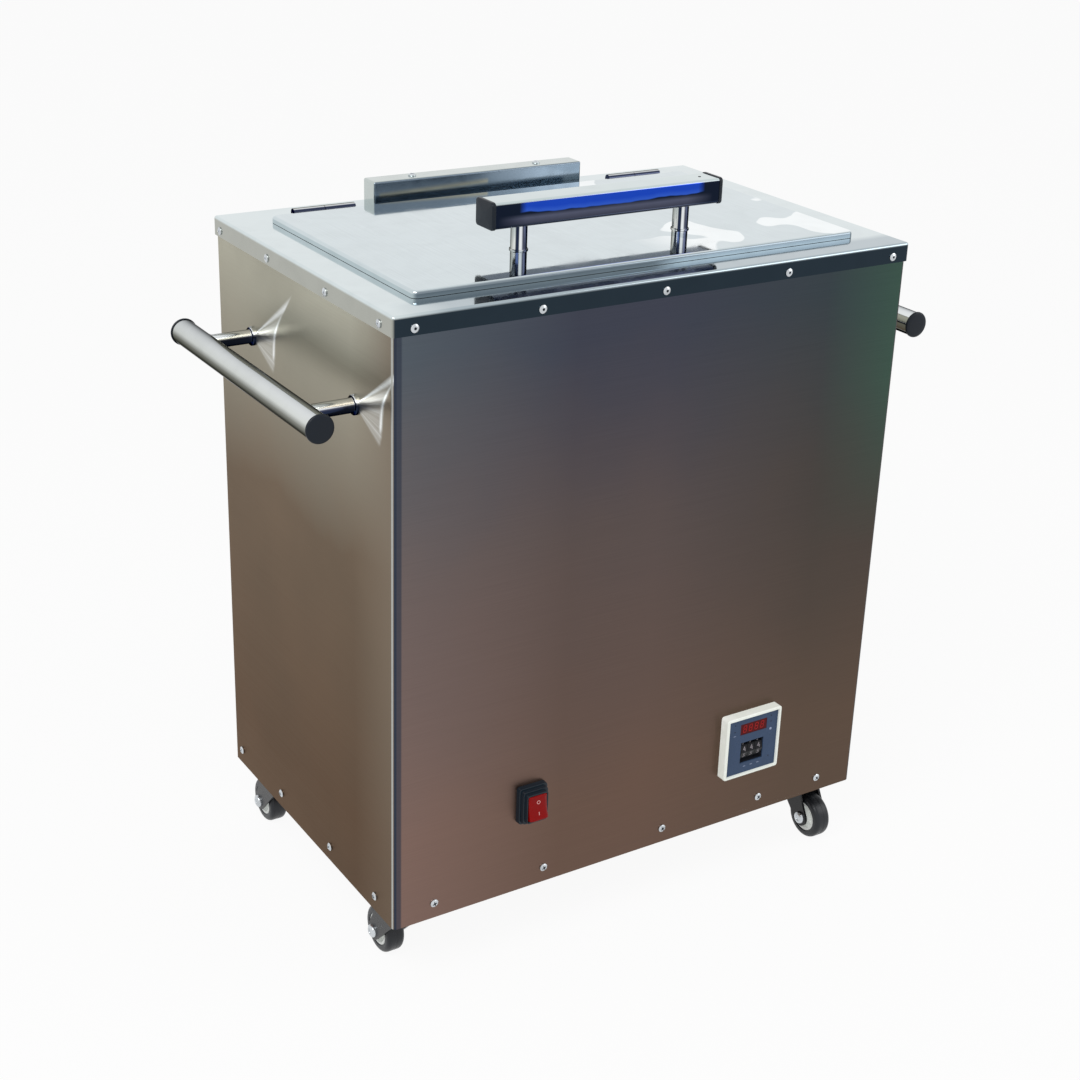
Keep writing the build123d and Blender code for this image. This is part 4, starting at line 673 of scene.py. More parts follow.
def deck_finish(sheet):
    """Polished deck: greyer in front of the lid, with dark turned-down flanges."""
    wiring, sockets, place, facing = start_finish("polished deck", Metallic=1.0)
    x, y, z = wiring.split(place)
    # Painted reflection: greyer strip between the deck's front edge and the lid.
    strip = wiring.ramp(y, lid_low[1], lid_low[1] - 12 * MM)
    strip = wiring.times(strip, wiring.ramp(x, deck_low[0] + 8 * MM, deck_low[0] + 60 * MM))
    flat = wiring.mix(strip, shown(sheet.deck, POLISHED_GAIN), shown(sheet.deck_front, POLISHED_GAIN))
    # Painted reflections on the turned-down flanges: dark on the front, lighter on the sides, by facing.
    across = wiring.math("ABSOLUTE", wiring.split(facing)[0])
    edge = wiring.mix(
        wiring.ramp(across, 0.3, 0.9), shown(sheet.flange_front), shown(sheet.flange_side, POLISHED_GAIN)
    )
    turned_down = wiring.ramp(z, top - 3.2 * MM, top - 1.4 * MM, 1.0, 0.0)
    polish(wiring, sockets, place, wiring.mix(turned_down, flat, edge))


def lid_finish(sheet):
    """Polished lid: faint grain from front to back, bright patches on its right, a darker front edge."""
    wiring, sockets, place, facing = start_finish("polished lid", Metallic=1.0)
    x, y = wiring.split(place)[:2]
    stretched = {0: wiring.times(x, 700.0), 1: wiring.times(y, 12.0)}
    lines = wiring.node("ShaderNodeCombineXYZ", stretched).outputs[0]
    grain = wiring.ramp(wiring.noise(lines, 1.0, 3.0), 0.3, 0.7, 0.965, 1.035)
    tone = wiring.mix(1.0, shown(sheet.lid, POLISHED_GAIN), wiring.grey(grain), "MULTIPLY")
    # Painted reflection: bright patches on the lid's top towards its right.
    patch = wiring.ramp(wiring.noise(place, 11.0, 1.5), 0.535, 0.545)
    along, up = wiring.split(facing)[1:]
    patch = wiring.times(patch, wiring.ramp(x, 20 * MM, 80 * MM))
    patch = wiring.times(patch, wiring.ramp(up, 0.8, 0.98, 0.0, 0.85))
    tone = wiring.mix(patch, tone, shown(sheet.lid_patch))
    # Painted reflection: the front edge darker.
    tone = wiring.mix(wiring.ramp(along, -0.5, -0.9), tone, shown(sheet.lid_front))
    polish(wiring, sockets, place, tone, 0.04)


def banded_finish(name, *stops, direction=Z_AXIS, roughness=0.08):
    """Polished round piece: the room it reflects, as tones by how far it faces along a direction."""
    wiring, sockets, place, facing = start_finish(name, Metallic=1.0, Specular_Tint=(0.1, 0.1, 0.1, 1))
    toward = wiring.node(
        "ShaderNodeVectorMath", {0: facing, 1: tuple(direction)}, operation="DOT_PRODUCT"
    ).outputs["Value"]
    tones = [(position, shown(tone, POLISHED_GAIN)) for position, tone in stops]
    polish(wiring, sockets, place, wiring.field(wiring.ramp(toward, -1, 1), *tones), roughness, 0.03)


def bar_finish(metal):
    """Polished handle bar: pale top, and a front with a blue strip over a dark lower half."""
    wiring, sockets, place, facing = start_finish("polished bar", Metallic=1.0)
    x, y, z = wiring.split(place)
    along, up = wiring.split(facing)[1:]
    along_bar, height = wiring.ramp(x, bar_low[0], bar_high[0]), wiring.ramp(z, bar_low[2], bar_high[2])
    # Painted reflection: dark bands on the lower half of the front.
    lower = wiring.field(
        height, (0.0, shown(metal.bar_end)), (0.14, shown(metal.bar_front, 0.6)),
        (0.34, shown(metal.bar_front)), (0.50, shown(metal.bar_end)),
    )
    swell = wiring.math("SINE", wiring.times(along_bar, math.pi))
    wave = wiring.node("ShaderNodeCombineXYZ", {0: wiring.times(x, 26.0)}).outputs[0]
    edge = wiring.ramp(wiring.noise(wave, 1.0), 0.3, 0.7, 0.50, 0.60)
    edge = wiring.math("ADD", edge, wiring.times(swell, -0.08))
    above = wiring.math("SUBTRACT", height, edge)
    # Painted reflection: the blue strip along the front, its lower edge wavy.
    share = wiring.times(wiring.ramp(above, 0.0, 0.04), wiring.inside(along_bar, 0.10, 0.93, 0.03))
    share = wiring.times(share, wiring.ramp(height, 0.97, 0.90))
    # Painted highlight: lighter blue inside the blue strip.
    glint = wiring.ramp(above, 0.04, 0.22, 0.55, 0.0)
    strip = wiring.mix(glint, shown(metal.bar_strip), shown(metal.bar_glint))
    # Painted reflection: dark ends of the front.
    front = wiring.mix(wiring.inside(along_bar, 0.01, 0.97, 0.12), shown(metal.bar_end), lower)
    front = wiring.mix(share, front, strip)
    # Painted reflections by facing: the back takes the stop bar's front tone, the underside the dark front
    # tone, the top its pale tone.
    base = wiring.mix(wiring.ramp(along, 0.3, 0.7), front, shown(metal.stop_front))
    base = wiring.mix(wiring.ramp(up, -0.4, -0.8), base, shown(metal.bar_front))
    base = wiring.mix(wiring.ramp(up, 0.25, 0.6), base, shown(metal.bar_top, POLISHED_GAIN))
    polish(wiring, sockets, place, base)


def stop_finish(metal):
    """Polished stop bar: slate front with a warm patch on its left, pale top and ends."""
    wiring, sockets, place, facing = start_finish("polished stop", Metallic=1.0)
    x, y, z = wiring.split(place)
    along = wiring.split(facing)[1]
    long, tall = stop_high[0] - stop_low[0], stop_high[2] - stop_low[2]
    # Painted reflection: a warm patch on the left of the front face.
    slope = wiring.math("ADD", z, wiring.times(x, -0.03))
    wide = wiring.inside(x, stop_low[0] + 0.02 * long, stop_low[0] + 0.54 * long, 0.01 * long)
    high = wiring.inside(slope, stop_low[2] + 0.38 * tall, stop_low[2] + 0.72 * tall, 0.16 * tall)
    patch = wiring.times(wide, high)
    front = wiring.mix(patch, shown(metal.stop_front), shown(metal.stop_patch))
    # Painted reflections by facing: pale on the top and ends, slate on the front and back.
    upright = wiring.ramp(wiring.math("ABSOLUTE", along), 0.3, 0.8)
    base = wiring.mix(upright, shown(metal.stop_top, POLISHED_GAIN), front)
    polish(wiring, sockets, place, base, 0.13)


def metal_finish(name, tone, roughness, spread=0.08, uneven=0.78):
    """Plain metal: smudges take its tone down to the uneven share, and spread its roughness."""
    wiring, sockets, place, facing = start_finish(name, Metallic=1.0)
    marks = wiring.group("Handling marks", Vector=place, Scale=90.0)
    base = wiring.mix(marks["Smudge"], shown(tone), shown(tone, uneven))
    roughness = wiring.ramp(marks["Smudge"], 0, 1, roughness, roughness + spread)
    wire(wiring, sockets, base, roughness, marks["Smudge"], 0.05, 0.3 * MM)


def plastic_finish(
    name, tone, roughness, grain=0.10, coat=0.0, scale=900.0, glow=0.0, sheen=0.2, shade_pocket=None
):
    """Moulded plastic, rubber or coating: fine grain in the surface and a little dust in the tone.

    Where a pocket is given by its lowest and highest corner, the tone inside it is nearly black."""
    wiring, sockets, place, facing = start_finish(
        name, Coat_Weight=coat, Coat_Roughness=0.04, Emission_Strength=glow, Specular_IOR_Level=sheen
    )
    marks = wiring.group("Moulded grain", Vector=place, Scale=scale)
    base = wiring.mix(wiring.times(marks["Dust"], 0.5), shown(tone), shown(tone, 1.35))
    if shade_pocket:
        x, y, z = wiring.split(place)
        wide, high = (wiring.inside(part, shade_pocket[0][axis], shade_pocket[1][axis], 0.1 * MM)
                      for part, axis in ((x, 0), (z, 2)))
        base = wiring.mix(wiring.times(wide, high), base, (0.012, 0.013, 0.018, 1))
    if glow:
        wiring.tree.links.new(base, sockets["Emission Color"])
    roughness = wiring.ramp(marks["Grain"], 0.3, 0.7, roughness - 0.04, roughness + 0.06)
    wire(wiring, sockets, base, roughness, marks["Grain"], grain, 0.2 * MM)


def fibre_finish():
    """Pressed glass fibre mat."""
    wiring, sockets, place, facing = start_finish("fibre mat")
    marks = wiring.group("Moulded grain", Vector=place, Scale=420.0)
    base = wiring.mix(marks["Grain"], (0.80, 0.72, 0.40, 1), (0.62, 0.50, 0.22, 1))
    wire(wiring, sockets, base, wiring.ramp(marks["Dust"], 0, 1, 0.9, 1.0), marks["Grain"], 0.6, 2 * MM)


def levels(*values):
    """Levels from 0 to 255 as shares."""
    return [value / 255 for value in values]


# Each finish, and the solids that wear it.
WEARERS = {
    "brushed sheet": ("wrap_panel", "back_panel", "base_tray"),
    "polished deck": ("deck",),
    "polished lid": ("lid_skin",),
    "polished bar": ("lid_handle_bar",),
    "polished stop": ("lid_stop_bar",),
    "polished hinge": ("hinge_deck_knuckles", "hinge_lid_knuckles"),
    "polished tube": ("side_handle_tubes", "drain_pipe"),
    "polished post": ("side_handle_posts",),
    "polished upright": ("lid_handle_posts",),
    "inner steel": ("tank", "tank_flange", "lid_liner"),
    "wire steel": ("guard_shelf", "shelf_feet", "rack_loops", "rack_bails", "rack_dividers",
                   "temperature_probe"),
    "zinc": ("deck_screws", "panel_screws", "stop_bar_screws", "hinge_pins", "side_handle_nuts",
             "caster_bolts", *(f"{corner}_axle" for corner in CORNERS)),
    "black plastic": ("side_handle_caps", "lid_handle_caps", "cable_gland", "contactor"),
    "fibre mat": ("tank_insulation", "lid_insulation"),
    "tinted sheath": ("heating_element",),
    "brass": ("element_nuts", "drain_valve"),
    "red grip": ("drain_lever",),
    "ivory plastic": ("terminal_block",),
    "ivory case": ("controller_case",),
    "face film": ("controller_face",),
    "display glass": ("controller_display",),
    "gloss housing": ("switch_body",),
    "gloss red": ("switch_rocker",),
    "number wheel": ("setting_wheel_1", "setting_wheel_2", "setting_wheel_3"),
    "black coating": ("caster_plates", *(f"{corner}_fork" for corner in CORNERS)),
    "tyre rubber": tuple(f"{corner}_wheel" for corner in CORNERS),
}


# ---- operators --------------------------------------------------------------------------------------------
class HEATER_OT_finishes(bpy.types.Operator):
    """Build every material and give the carried-over solids theirs"""

    bl_idname = "heater.finishes"
    bl_label = "Finishes"

    def execute(self, context):
        """Groups first, then the materials, then the nodes."""
        scene = context.scene
        sheet, metal, trim = scene.heater_sheet, scene.heater_metal, scene.heater_trim
        for build in (brushed_group, handling_group, moulded_group):
            build()
        brushed_finish(sheet)
        deck_finish(sheet)
        lid_finish(sheet)
        bar_finish(metal)
        stop_finish(metal)
        # Painted reflections and painted highlights: bands of tone by facing stand for what the tube, post,
        # hinge and upright reflect.
        banded_finish(
            "polished tube", (0.0, metal.tube_under), (0.18, metal.tube_under), (0.21, metal.bar_end),
            (0.25, metal.tube_side), (0.52, metal.tube_side), (0.72, metal.tube_top), (1.0, metal.bright),
        )
        banded_finish(
            "polished post", (0.0, metal.dark), (0.56, metal.dark), (0.66, metal.bar_front),
            (0.72, metal.bright), (1.0, metal.bright),
        )
        banded_finish(
            "polished hinge", (0.0, metal.bar_end), (0.40, metal.dark), (0.62, metal.bar_front),
            (0.78, metal.dark), (0.88, metal.bar_front), (0.93, metal.bright), (1.0, metal.tube_side),
        )
        banded_finish(
            "polished upright", (0.0, metal.tube_side), (0.28, metal.tube_top), (0.35, metal.dark),
            (0.50, metal.dark), (0.55, metal.bright), (0.66, metal.bright), (0.74, metal.bar_front),
            (1.0, metal.bar_end), direction=(0.843, -0.537, 0.0),
        )
        metal_finish("zinc", metal.zinc, 0.2, 0.12)
        metal_finish("inner steel", levels(184, 186, 186), 0.26, 0.03, uneven=0.94)
        metal_finish("wire steel", levels(206, 208, 209), 0.16, 0.1)
        metal_finish("tinted sheath", levels(112, 105, 100), 0.42, 0.15)
        metal_finish("brass", levels(212, 180, 112), 0.25, 0.12)
        plastic_finish("black plastic", trim.black, 0.34, 0.10)
        # Painted light: the ivory plastic glows at 0.28 though it is no lamp.
        plastic_finish("ivory plastic", trim.ivory, 0.34, 0.05, glow=0.28)
        # Painted shade: the ivory case nearly black round the setting wheels.
        wheels = np.array([box_of(f"setting_wheel_{n}") for n in (1, 2, 3)])
        clear = 1.8 * MM
        shade_pocket = (wheels[:, 0].min(0) - clear, wheels[:, 1].max(0) + clear)
        # Painted light: the ivory case glows at 0.28 though it is no lamp.
        plastic_finish("ivory case", trim.ivory, 0.34, 0.05, glow=0.28, shade_pocket=shade_pocket)
        plastic_finish("face film", trim.face, 0.30, 0.03)
        plastic_finish("display glass", trim.display, 0.16, 0.02, glow=0.3, sheen=0.1)
        plastic_finish("lit segment", levels(150, 24, 22), 0.3, 0.02, glow=0.4, sheen=0.1)
        plastic_finish("gloss housing", trim.housing, 0.12, 0.03, coat=0.12)
        plastic_finish("gloss red", trim.rocker, 0.16, 0.02, coat=0.03, sheen=0.1)
        plastic_finish("pale print", levels(226, 170, 166), 0.5, 0.02)
        plastic_finish("dark print", levels(30, 36, 50), 0.4, 0.02)
        plastic_finish("lamp lens", levels(150, 162, 190), 0.2, 0.02, coat=0.3)
        plastic_finish("number wheel", levels(16, 17, 22), 0.3, 0.04)
        plastic_finish("faded number", levels(150, 144, 150), 0.5, 0.02)
        plastic_finish("tyre rubber", trim.tyre, 0.34, 0.12, scale=500.0, sheen=0.35)
        # Painted light: the wheel core glows at 0.25 though it is no lamp.
        plastic_finish("wheel core", trim.core, 0.28, 0.06, coat=0.2, glow=0.25)
        plastic_finish("black coating", levels(14, 14, 18), 0.26, 0.08, sheen=0.3)
        # Painted shade: dark tone for the discs at the foot of the screws' recesses.
        plastic_finish("painted recess shade", levels(34, 38, 46), 0.5, 0.05)
        plastic_finish("red grip", levels(160, 26, 22), 0.42, 0.08)
        fibre_finish()
        for finish, names in WEARERS.items():
            for name in names:
                nodes[name].data.materials.clear()
                nodes[name].data.materials.append(finishes[finish])
        return {"FINISHED"}


def recessed_head(radius, height, recess, depth):
    """Screw head about local Z: a dome that falls as the 2.2th power of the radius, then its recess."""
    steps = len(recess)
    brim = 0.42 * height
    shares = np.array([1.0, 0.97, 0.9, 0.8, 0.7])
    dome = [(share * radius, height - (height - brim) * share**2.2) for share in shares]
    edge = height - 0.25 * (height - brim)
    rows = [(0.97 * radius, 0.0), (radius, 0.12 * height), *dome, (recess * 1.04, edge)]
    rows += [(recess, edge - 0.1 * MM), (recess * 0.9, height - depth)]
    return stacked(rows, steps)


class HEATER_OT_screws(bpy.types.Operator):
    """Button screws round the deck, and cross-recessed screws at the foot, the back and the stop bar"""

    bl_idname = "heater.screws"
    bl_label = "Screws"

    def execute(self, context):
        """One head at each seat that the frame's screws have."""
        forms = context.scene.heater_forms
        steps = 48
        socket = many_sided(forms.socket_flats, 6, steps)
        cross = cross_sided(forms.cross_reach, 0.28 * forms.cross_reach, steps)
        for name, node, recess in (
            ("deck_screw_heads", "deck_screws", socket),
            ("panel_screw_heads", "panel_screws", cross),
            ("stop_screw_heads", "stop_bar_screws", cross),
        ):
            feet, bases, radius, height = head_seats(node)
            head = recessed_head(radius, height, recess, 0.75 * height)
            put(name, copies(head, feet, bases), "chassis", "zinc", [node])
            # Painted shade: a dark disc at the foot of each recess.
            floor = stacked([(0.9 * recess, 0.2 * height), (0.93 * recess, 0.45 * height)], steps)
            put(f"{name}_recess", copies(floor, feet, bases), "chassis", "painted recess shade")
        return {"FINISHED"}


class HEATER_OT_side_handles(bpy.types.Operator):
    """Hollow tubes, domed end plugs, posts with collars, their set screws and weld beads"""

    bl_idname = "heater.side_handles"
    bl_label = "Side handles"

    def execute(self, context):
        """Both sides, with sizes from the frame's tubes, caps and posts."""
        forms = context.scene.heater_forms
        low, high, middle = box_of("side_handle_tubes")
        radius, half = (high[2] - low[2]) / 2, (high[1] - low[1]) / 2
        axis_x = high[0] - radius
        cap_low, cap_high = box_of("side_handle_caps")[:2]
        cap_radius, thick = (cap_high[2] - cap_low[2]) / 2, cap_high[1] - middle[1] - half
        sides = np.array([-1.0, 1.0])
        axes = [(side * axis_x, middle[1], middle[2]) for side in sides]
        soft, inner = 0.3 * MM, radius - forms.tube_wall
        tube = stacked(
            [(radius, soft - half), (radius, half - soft), (radius - soft, half), (inner, half),
             (inner, -half), (radius - soft, -half)], 96, join_rows=True,
        )
        put("side_grips", copies(tube, axes, basis(Y_AXIS)), "chassis", "polished tube",
            ["side_handle_tubes"])

        rim, plug_depth = 1.7 * MM, 14 * MM
        dome = arc((cap_radius - rim, thick - rim - 0.2 * MM), rim, 0, 78, 6)
        plug = stacked(
            [(inner - 0.3 * MM, -plug_depth), (inner - 0.2 * MM, 0), (cap_radius - 0.5 * MM, 0),
             (cap_radius, 0.4 * MM), *dome, (0.6 * cap_radius, thick - 0.1 * MM),
             (0.2 * cap_radius, thick)], 96,
        )
        ends = [(x, middle[1] + end * half, z) for x, y, z in axes for end in sides]
        bases = [basis(end * Y_AXIS) for x in sides for end in sides]
        put("grip_end_plugs", copies(plug, ends, bases), "chassis", "black plastic",
            ["side_handle_caps"])

        post_low, post_high = box_of("side_handle_posts")[:2]
        collar = (post_high[2] - post_low[2]) / 2
        rows = [post_low[1] + collar, post_high[1] - collar]
        post, long = forms.post_radius, axis_x - wrap_high[0] - 0.86 * radius
        stud_depth, collar_long = 9 * MM, 2.2 * MM
        stem = stacked(
            [(0.5 * post, -stud_depth), (0.5 * post, 0), (collar, 0), (collar, collar_long),
             (collar - 0.5 * MM, 2.8 * MM), (post + 1.0 * MM, 3.0 * MM), (post + 0.2 * MM, 3.3 * MM),
             (post, 4.0 * MM), (post, long)], 64,
        )
        feet = [(side * wrap_high[0], y, middle[2]) for side in sides for y in rows]
        bases = [basis(side * X_AXIS) for side in sides for y in rows]
        put("grip_posts", copies(stem, feet, bases), "chassis", "polished post",
            ["side_handle_posts"])

        angle = np.linspace(0, TAU, 48, endpoint=False)
        seam, bead_radius = post + 0.3 * MM, 0.8 * MM
        along, up = seam * np.cos(angle), seam * np.sin(angle)
        saddle = np.column_stack([along, up, axis_x - wrap_high[0] - np.sqrt(radius**2 - up**2)])
        bead = beaded(saddle, bead_radius)
        upright = [np.stack([Y_AXIS, Z_AXIS, side * X_AXIS]) for side in sides for y in rows]
        put("grip_weld_beads", copies(bead, feet, upright), "chassis", "inner steel")

        screw = recessed_head(1.7 * MM, 0.5 * MM, many_sided(1.5 * MM, 6, 24), 0.45 * MM)
        tops = [(x + math.copysign(1.4 * MM, x), y, z + collar - 0.1 * MM) for x, y, z in feet]
        put("collar_set_screws", copies(screw, tops), "chassis", "zinc")
        return {"FINISHED"}


class HEATER_OT_lid_handle(bpy.types.Operator):
    """End caps with rounded rims, posts with foot rings, and the vent plug in the bar's top"""

    bl_idname = "heater.lid_handle"
    bl_label = "Lid handle"

    def execute(self, context):
        """Sizes from the frame's caps and posts."""
        cap_low, cap_high = box_of("lid_handle_caps")[:2]
        deep, tall = (cap_high - cap_low)[1:]
        thick, corner, soft = cap_high[0] - bar_high[0], 3.7 * MM, 1.3 * MM
        tongue_inset, tongue_depth = 2.4 * MM, 12 * MM

        def rim(inset):
            """The cap's outline, set in all round."""
            return outline(deep - 2 * inset, tall - 2 * inset, corner - inset, 9)

        rows = [(rim(tongue_inset), -tongue_depth), (rim(tongue_inset), 0)]
        rows += [(rim(0.3 * MM), 0), (rim(0), 0.3 * MM)]
        rows += [(rim(soft * (1 - math.cos(a))), thick - soft * (1 - math.sin(a)))
                 for a in np.linspace(0, TAU / 4, 6)]
        cap = lofted(rows)
        ends = [(x, bar_mid[1], bar_mid[2]) for x in (bar_low[0], bar_high[0])]
        bases = [basis(side * X_AXIS, Y_AXIS) for side in (-1, 1)]
        put("bar_end_caps", copies(cap, ends, bases), "lid", "black plastic",
            ["lid_handle_caps"])

        low, high = box_of("lid_handle_posts")[:2]
        radius = (high[1] - low[1]) / 2
        tall = bar_low[2] - lid_high[2]
        stud, stud_depth, ring = 0.4 * radius, 3.5 * MM, radius + 1.1 * MM
        post = stacked(
            [(stud, -stud_depth), (stud, 0), (ring, 0), (ring, 0.8 * MM), (ring - 0.3 * MM, 1.2 * MM),
             (radius + 0.2 * MM, 1.3 * MM), (radius, 1.8 * MM), (radius, tall - 0.8 * MM),
             (radius - 0.6 * MM, tall), (stud, tall), (stud, tall + stud_depth)], 96,
        )
        feet = [(x, bar_mid[1], lid_high[2]) for x in (low[0] + radius, high[0] - radius)]
        put("bar_posts", copies(post, feet), "lid", "polished upright", ["lid_handle_posts"])

        plug = stacked([(1.6 * MM, -0.5 * MM), (1.6 * MM, 0.05 * MM), (1.2 * MM, 0.3 * MM),
                        (0.4 * MM, 0.36 * MM)], 24)
        from_end = 14 * MM
        spot = (bar_high[0] - from_end, bar_mid[1], bar_high[2])
        put("bar_vent_plug", copies(plug, [spot]), "lid", "black plastic")
        return {"FINISHED"}


class HEATER_OT_controller(bpy.types.Operator):
    """Marks and lamp on the controller's face, faint digits in its window, numbers on its wheels"""

    bl_idname = "heater.controller"
    bl_label = "Controller"

    def execute(self, context):
        """Everything that is printed or lit on the controller."""
        forms = context.scene.heater_forms
        face, middle = box_of("controller_face")[::2]
        window, window_middle = box_of("controller_display")[::2]
        toward = basis(-Y_AXIS, X_AXIS)

        def on_face(*spots):
            """Places on the face's front, each given in millimetres right of and above its middle."""
            return [(middle[0] + x * MM, face[1], middle[2] + z * MM) for x, z in spots]

        sunk, proud = -0.05 * MM, 0.06 * MM
        dot = stacked([(0.8 * MM, sunk), (0.8 * MM, proud), (0.5 * MM, 0.1 * MM)], 24)
        spots = on_face((-24, 27), (-24, 19), (24, 27), (24, 20), (24, -22))
        put("face_dots", copies(dot, spots, toward), "chassis", "dark print")
        stroke = outline(3.2 * MM, 0.7 * MM, 0.3 * MM, 3)
        dash = lofted([(stroke, sunk), (stroke, proud)])
        spots = on_face((-24, 14), (-8, -26), (1, -26), (10, -26))
        put("face_dashes", copies(dash, spots, toward), "chassis", "lamp lens")
        lens = stacked([(1.5 * MM, -0.1 * MM), (1.5 * MM, 0.2 * MM), (1.1 * MM, 0.6 * MM),
                        (0.4 * MM, 0.8 * MM)], 32)
        put("face_lamp", copies(lens, on_face((24, 11)), toward), "chassis", "lamp lens")

        long, thick, lift = 3.4 * MM, 0.75 * MM, 0.08 * MM
        half, tip, gap = long / 2, thick / 2, long + 0.3 * MM
        bar = np.array([(-half, 0), (-half + tip, -tip), (half - tip, -tip), (half, 0),
                        (half - tip, tip), (-half + tip, tip)])
        lying = lofted([(bar, 0), (bar, lift)])
        standing = lofted([(bar[:, ::-1], 0), (bar[:, ::-1], lift)])
        digit = joined(
            copies(lying, [(0, row * gap, 0) for row in (-1, 0, 1)]),
            copies(standing, [(side * gap / 2, row * gap / 2, 0) for side in (-1, 1) for row in (-1, 1)]),
        )
        slant, pitch, stand_off = 0.12, 7.6 * MM, 0.02 * MM
        digit[0][:, 0] += slant * digit[0][:, 1]
        middles = [(window_middle[0] + n * pitch, window[1] - stand_off, window_middle[2])
                   for n in (-1.5, -0.5, 0.5, 1.5)]
        put("display_digits", copies(digit, middles, toward), "chassis", "lit segment")
        for n in (1, 2, 3):
            self.wheel_numbers(n, forms.digit_height)
        return {"FINISHED"}

    def wheel_numbers(self, n, digit_height):
        """The ten numbers of one setting wheel, one on each of its flats."""
        node, flats = f"setting_wheel_{n}", 10
        pivot = np.array(joints[f"setting_dial_{n}"]["pos_m"])
        points = corner_points(node)
        flat = points[:, 1:] - pivot[1:]
        far = np.linalg.norm(flat, axis=1)
        corner = flat[far > far.max() - 0.05 * MM]
        first = np.arctan2(corner[0, 1], corner[0, 0]) + TAU / flats / 2
        reach = far.max() * math.cos(TAU / flats / 2) + 0.04 * MM
        middle = (points[:, 0].min() + points[:, 0].max()) / 2
        numbers = []
        for value in range(flats):
            a = first + value * TAU / flats
            out = np.array([0, math.cos(a), math.sin(a)])
            place = (middle, pivot[1] + reach * out[1], pivot[2] + reach * out[2])
            numbers.append(copies(glyph(str(value), digit_height), [place],
                                  np.stack([X_AXIS, np.cross(out, X_AXIS), out])))
        put(f"wheel_numbers_{n}", joined(*numbers), f"dial_{n}", "faded number")


class HEATER_OT_switch(bpy.types.Operator):
    """Stepped housing with rounded edges, and the crowned rocker with its two marks"""

    bl_idname = "heater.switch"
    bl_label = "Power switch"

    def execute(self, context):
        """Both about the switch's own middle, with local Z towards the front."""
        forms = context.scene.heater_forms
        low, high, middle = box_of("switch_body")
        wide, tall = (high - low)[[0, 2]]
        stand = wrap_low[1] - low[1]
        rocker_low, rocker_high = box_of("switch_rocker")[:2]
        across = rocker_high[0] - rocker_low[0] - 4.8 * MM
        tail, tail_depth = outline(28 * MM, 34 * MM, 1 * MM, 9), 26 * MM
        rows = [(tail, -tail_depth), (tail, 0.0)]
        level = 0.0
        # Each step of the housing: its inset and its rise, in millimetres.
        for inset, rise in ((0.0, 5.3), (2.0, 4.5), (4.0, 4.0)):
            # Its rounded edge: shares of the rise, each with the millimetres it has drawn in there.
            for share, inward in ((0.0, 0.0), (0.86, 0.3), (0.95, 0.42), (0.99, 0.75), (1.0, 1.3)):
                edge = 2 * (inset + inward) * MM
                flat = outline(wide - edge, tall - edge, (3.4 - 0.5 * inward) * MM, 9)
                rows.append((flat, level + share * rise * MM))
            level += rise * MM
        opening, well_depth = (across + 1.0 * MM, 28 * MM), 9 * MM
        rows += [(outline(opening[0] + 1 * MM, opening[1] + 1 * MM, 1.2 * MM, 9), level),
                 (outline(*opening, 0.8 * MM, 9), level - 0.4 * MM),
                 (outline(*opening, 0.8 * MM, 9), level - well_depth)]
        scale = stand / level
        rows = [(flat, height * scale if height > 0 else height) for flat, height in rows]
        place = (middle[0], wrap_low[1], middle[2])
        housing = copies(lofted(rows), [place], basis(-Y_AXIS, X_AXIS))
        put("switch_housing", housing, "chassis", "gloss housing", ["switch_body"], crease=40)

        pivot = np.array(joints["power_rocker"]["pos_m"])
        pivot[0] = middle[0]
        half, end = across / 2, 12.3 * MM

        def crown(x, z):
            """Front of the rocker: it dips between its ends, and falls back towards its sides."""
            fall = np.maximum(0, (np.abs(x) / half - 0.62) / 0.38) ** 2
            return -6.5 * MM - 1.2 * MM * (z / end) ** 2 + 1.5 * MM * fall

        x_rings = half * np.array([-1, -0.99, -0.96, -0.9, -0.82, -0.72, -0.5, 0, 0.5, 0.72, 0.82, 0.9, 0.96,
                                   0.99, 1])
        z_front = np.linspace(-end, end, 21)
        z_rest = np.array([13.0, 13.45, 13.5, 9.5, 0, -9.5, -13.5, -13.45, -13.0]) * MM
        y_rest = np.array([-7.3, -6.0, 0, 4.5, 4.5, 4.5, 0, -6.0, -7.3]) * MM
        rings = []
        for x in x_rings:
            ease = 0.6 * MM * max(0.0, (abs(x) / half - 0.93) / 0.07) ** 2
            fall = crown(x, 0.0) - crown(0.0, 0.0)
            y_back = np.where(y_rest < -1 * MM, y_rest + fall, y_rest)
            z = np.concatenate([z_front, z_rest]) * (1 - ease / end)
            y = np.concatenate([crown(x, z_front), y_back])
            rings.append(np.column_stack([np.full(len(z), x), y, z]))
        lean = -forms.rocker_tilt
        cosine, sine = math.cos(lean), math.sin(lean)
        leaning = np.array([[1, 0, 0], [0, cosine, sine], [0, -sine, cosine]])
        put("rocker_key", copies(skin(rings), [pivot], leaning), "rocker", "gloss red",
            ["switch_rocker"], crease=50)

        outer, inner, thick, sunk = 2.0 * MM, 1.35 * MM, 0.15 * MM, 0.05 * MM
        ring = stacked([(outer, 0), (outer, thick), (inner, thick), (inner, 0)], 40, join_rows=True)
        stroke = outline(0.7 * MM, 3.6 * MM, 0.3 * MM, 3)
        stroke = lofted([(stroke, 0), (stroke, thick)])
        facing = basis(-Y_AXIS, X_AXIS)
        from_middle = 6 * MM
        off = copies(ring, [(0, sunk, from_middle)], facing)
        on = copies(stroke, [(0, sunk, -from_middle)], facing)
        marks, faces = joined(off, on)
        marks[:, 1] += crown(marks[:, 0], marks[:, 2])
        put("rocker_marks", copies((marks, faces), [pivot], leaning), "rocker", "pale print")
        return {"FINISHED"}


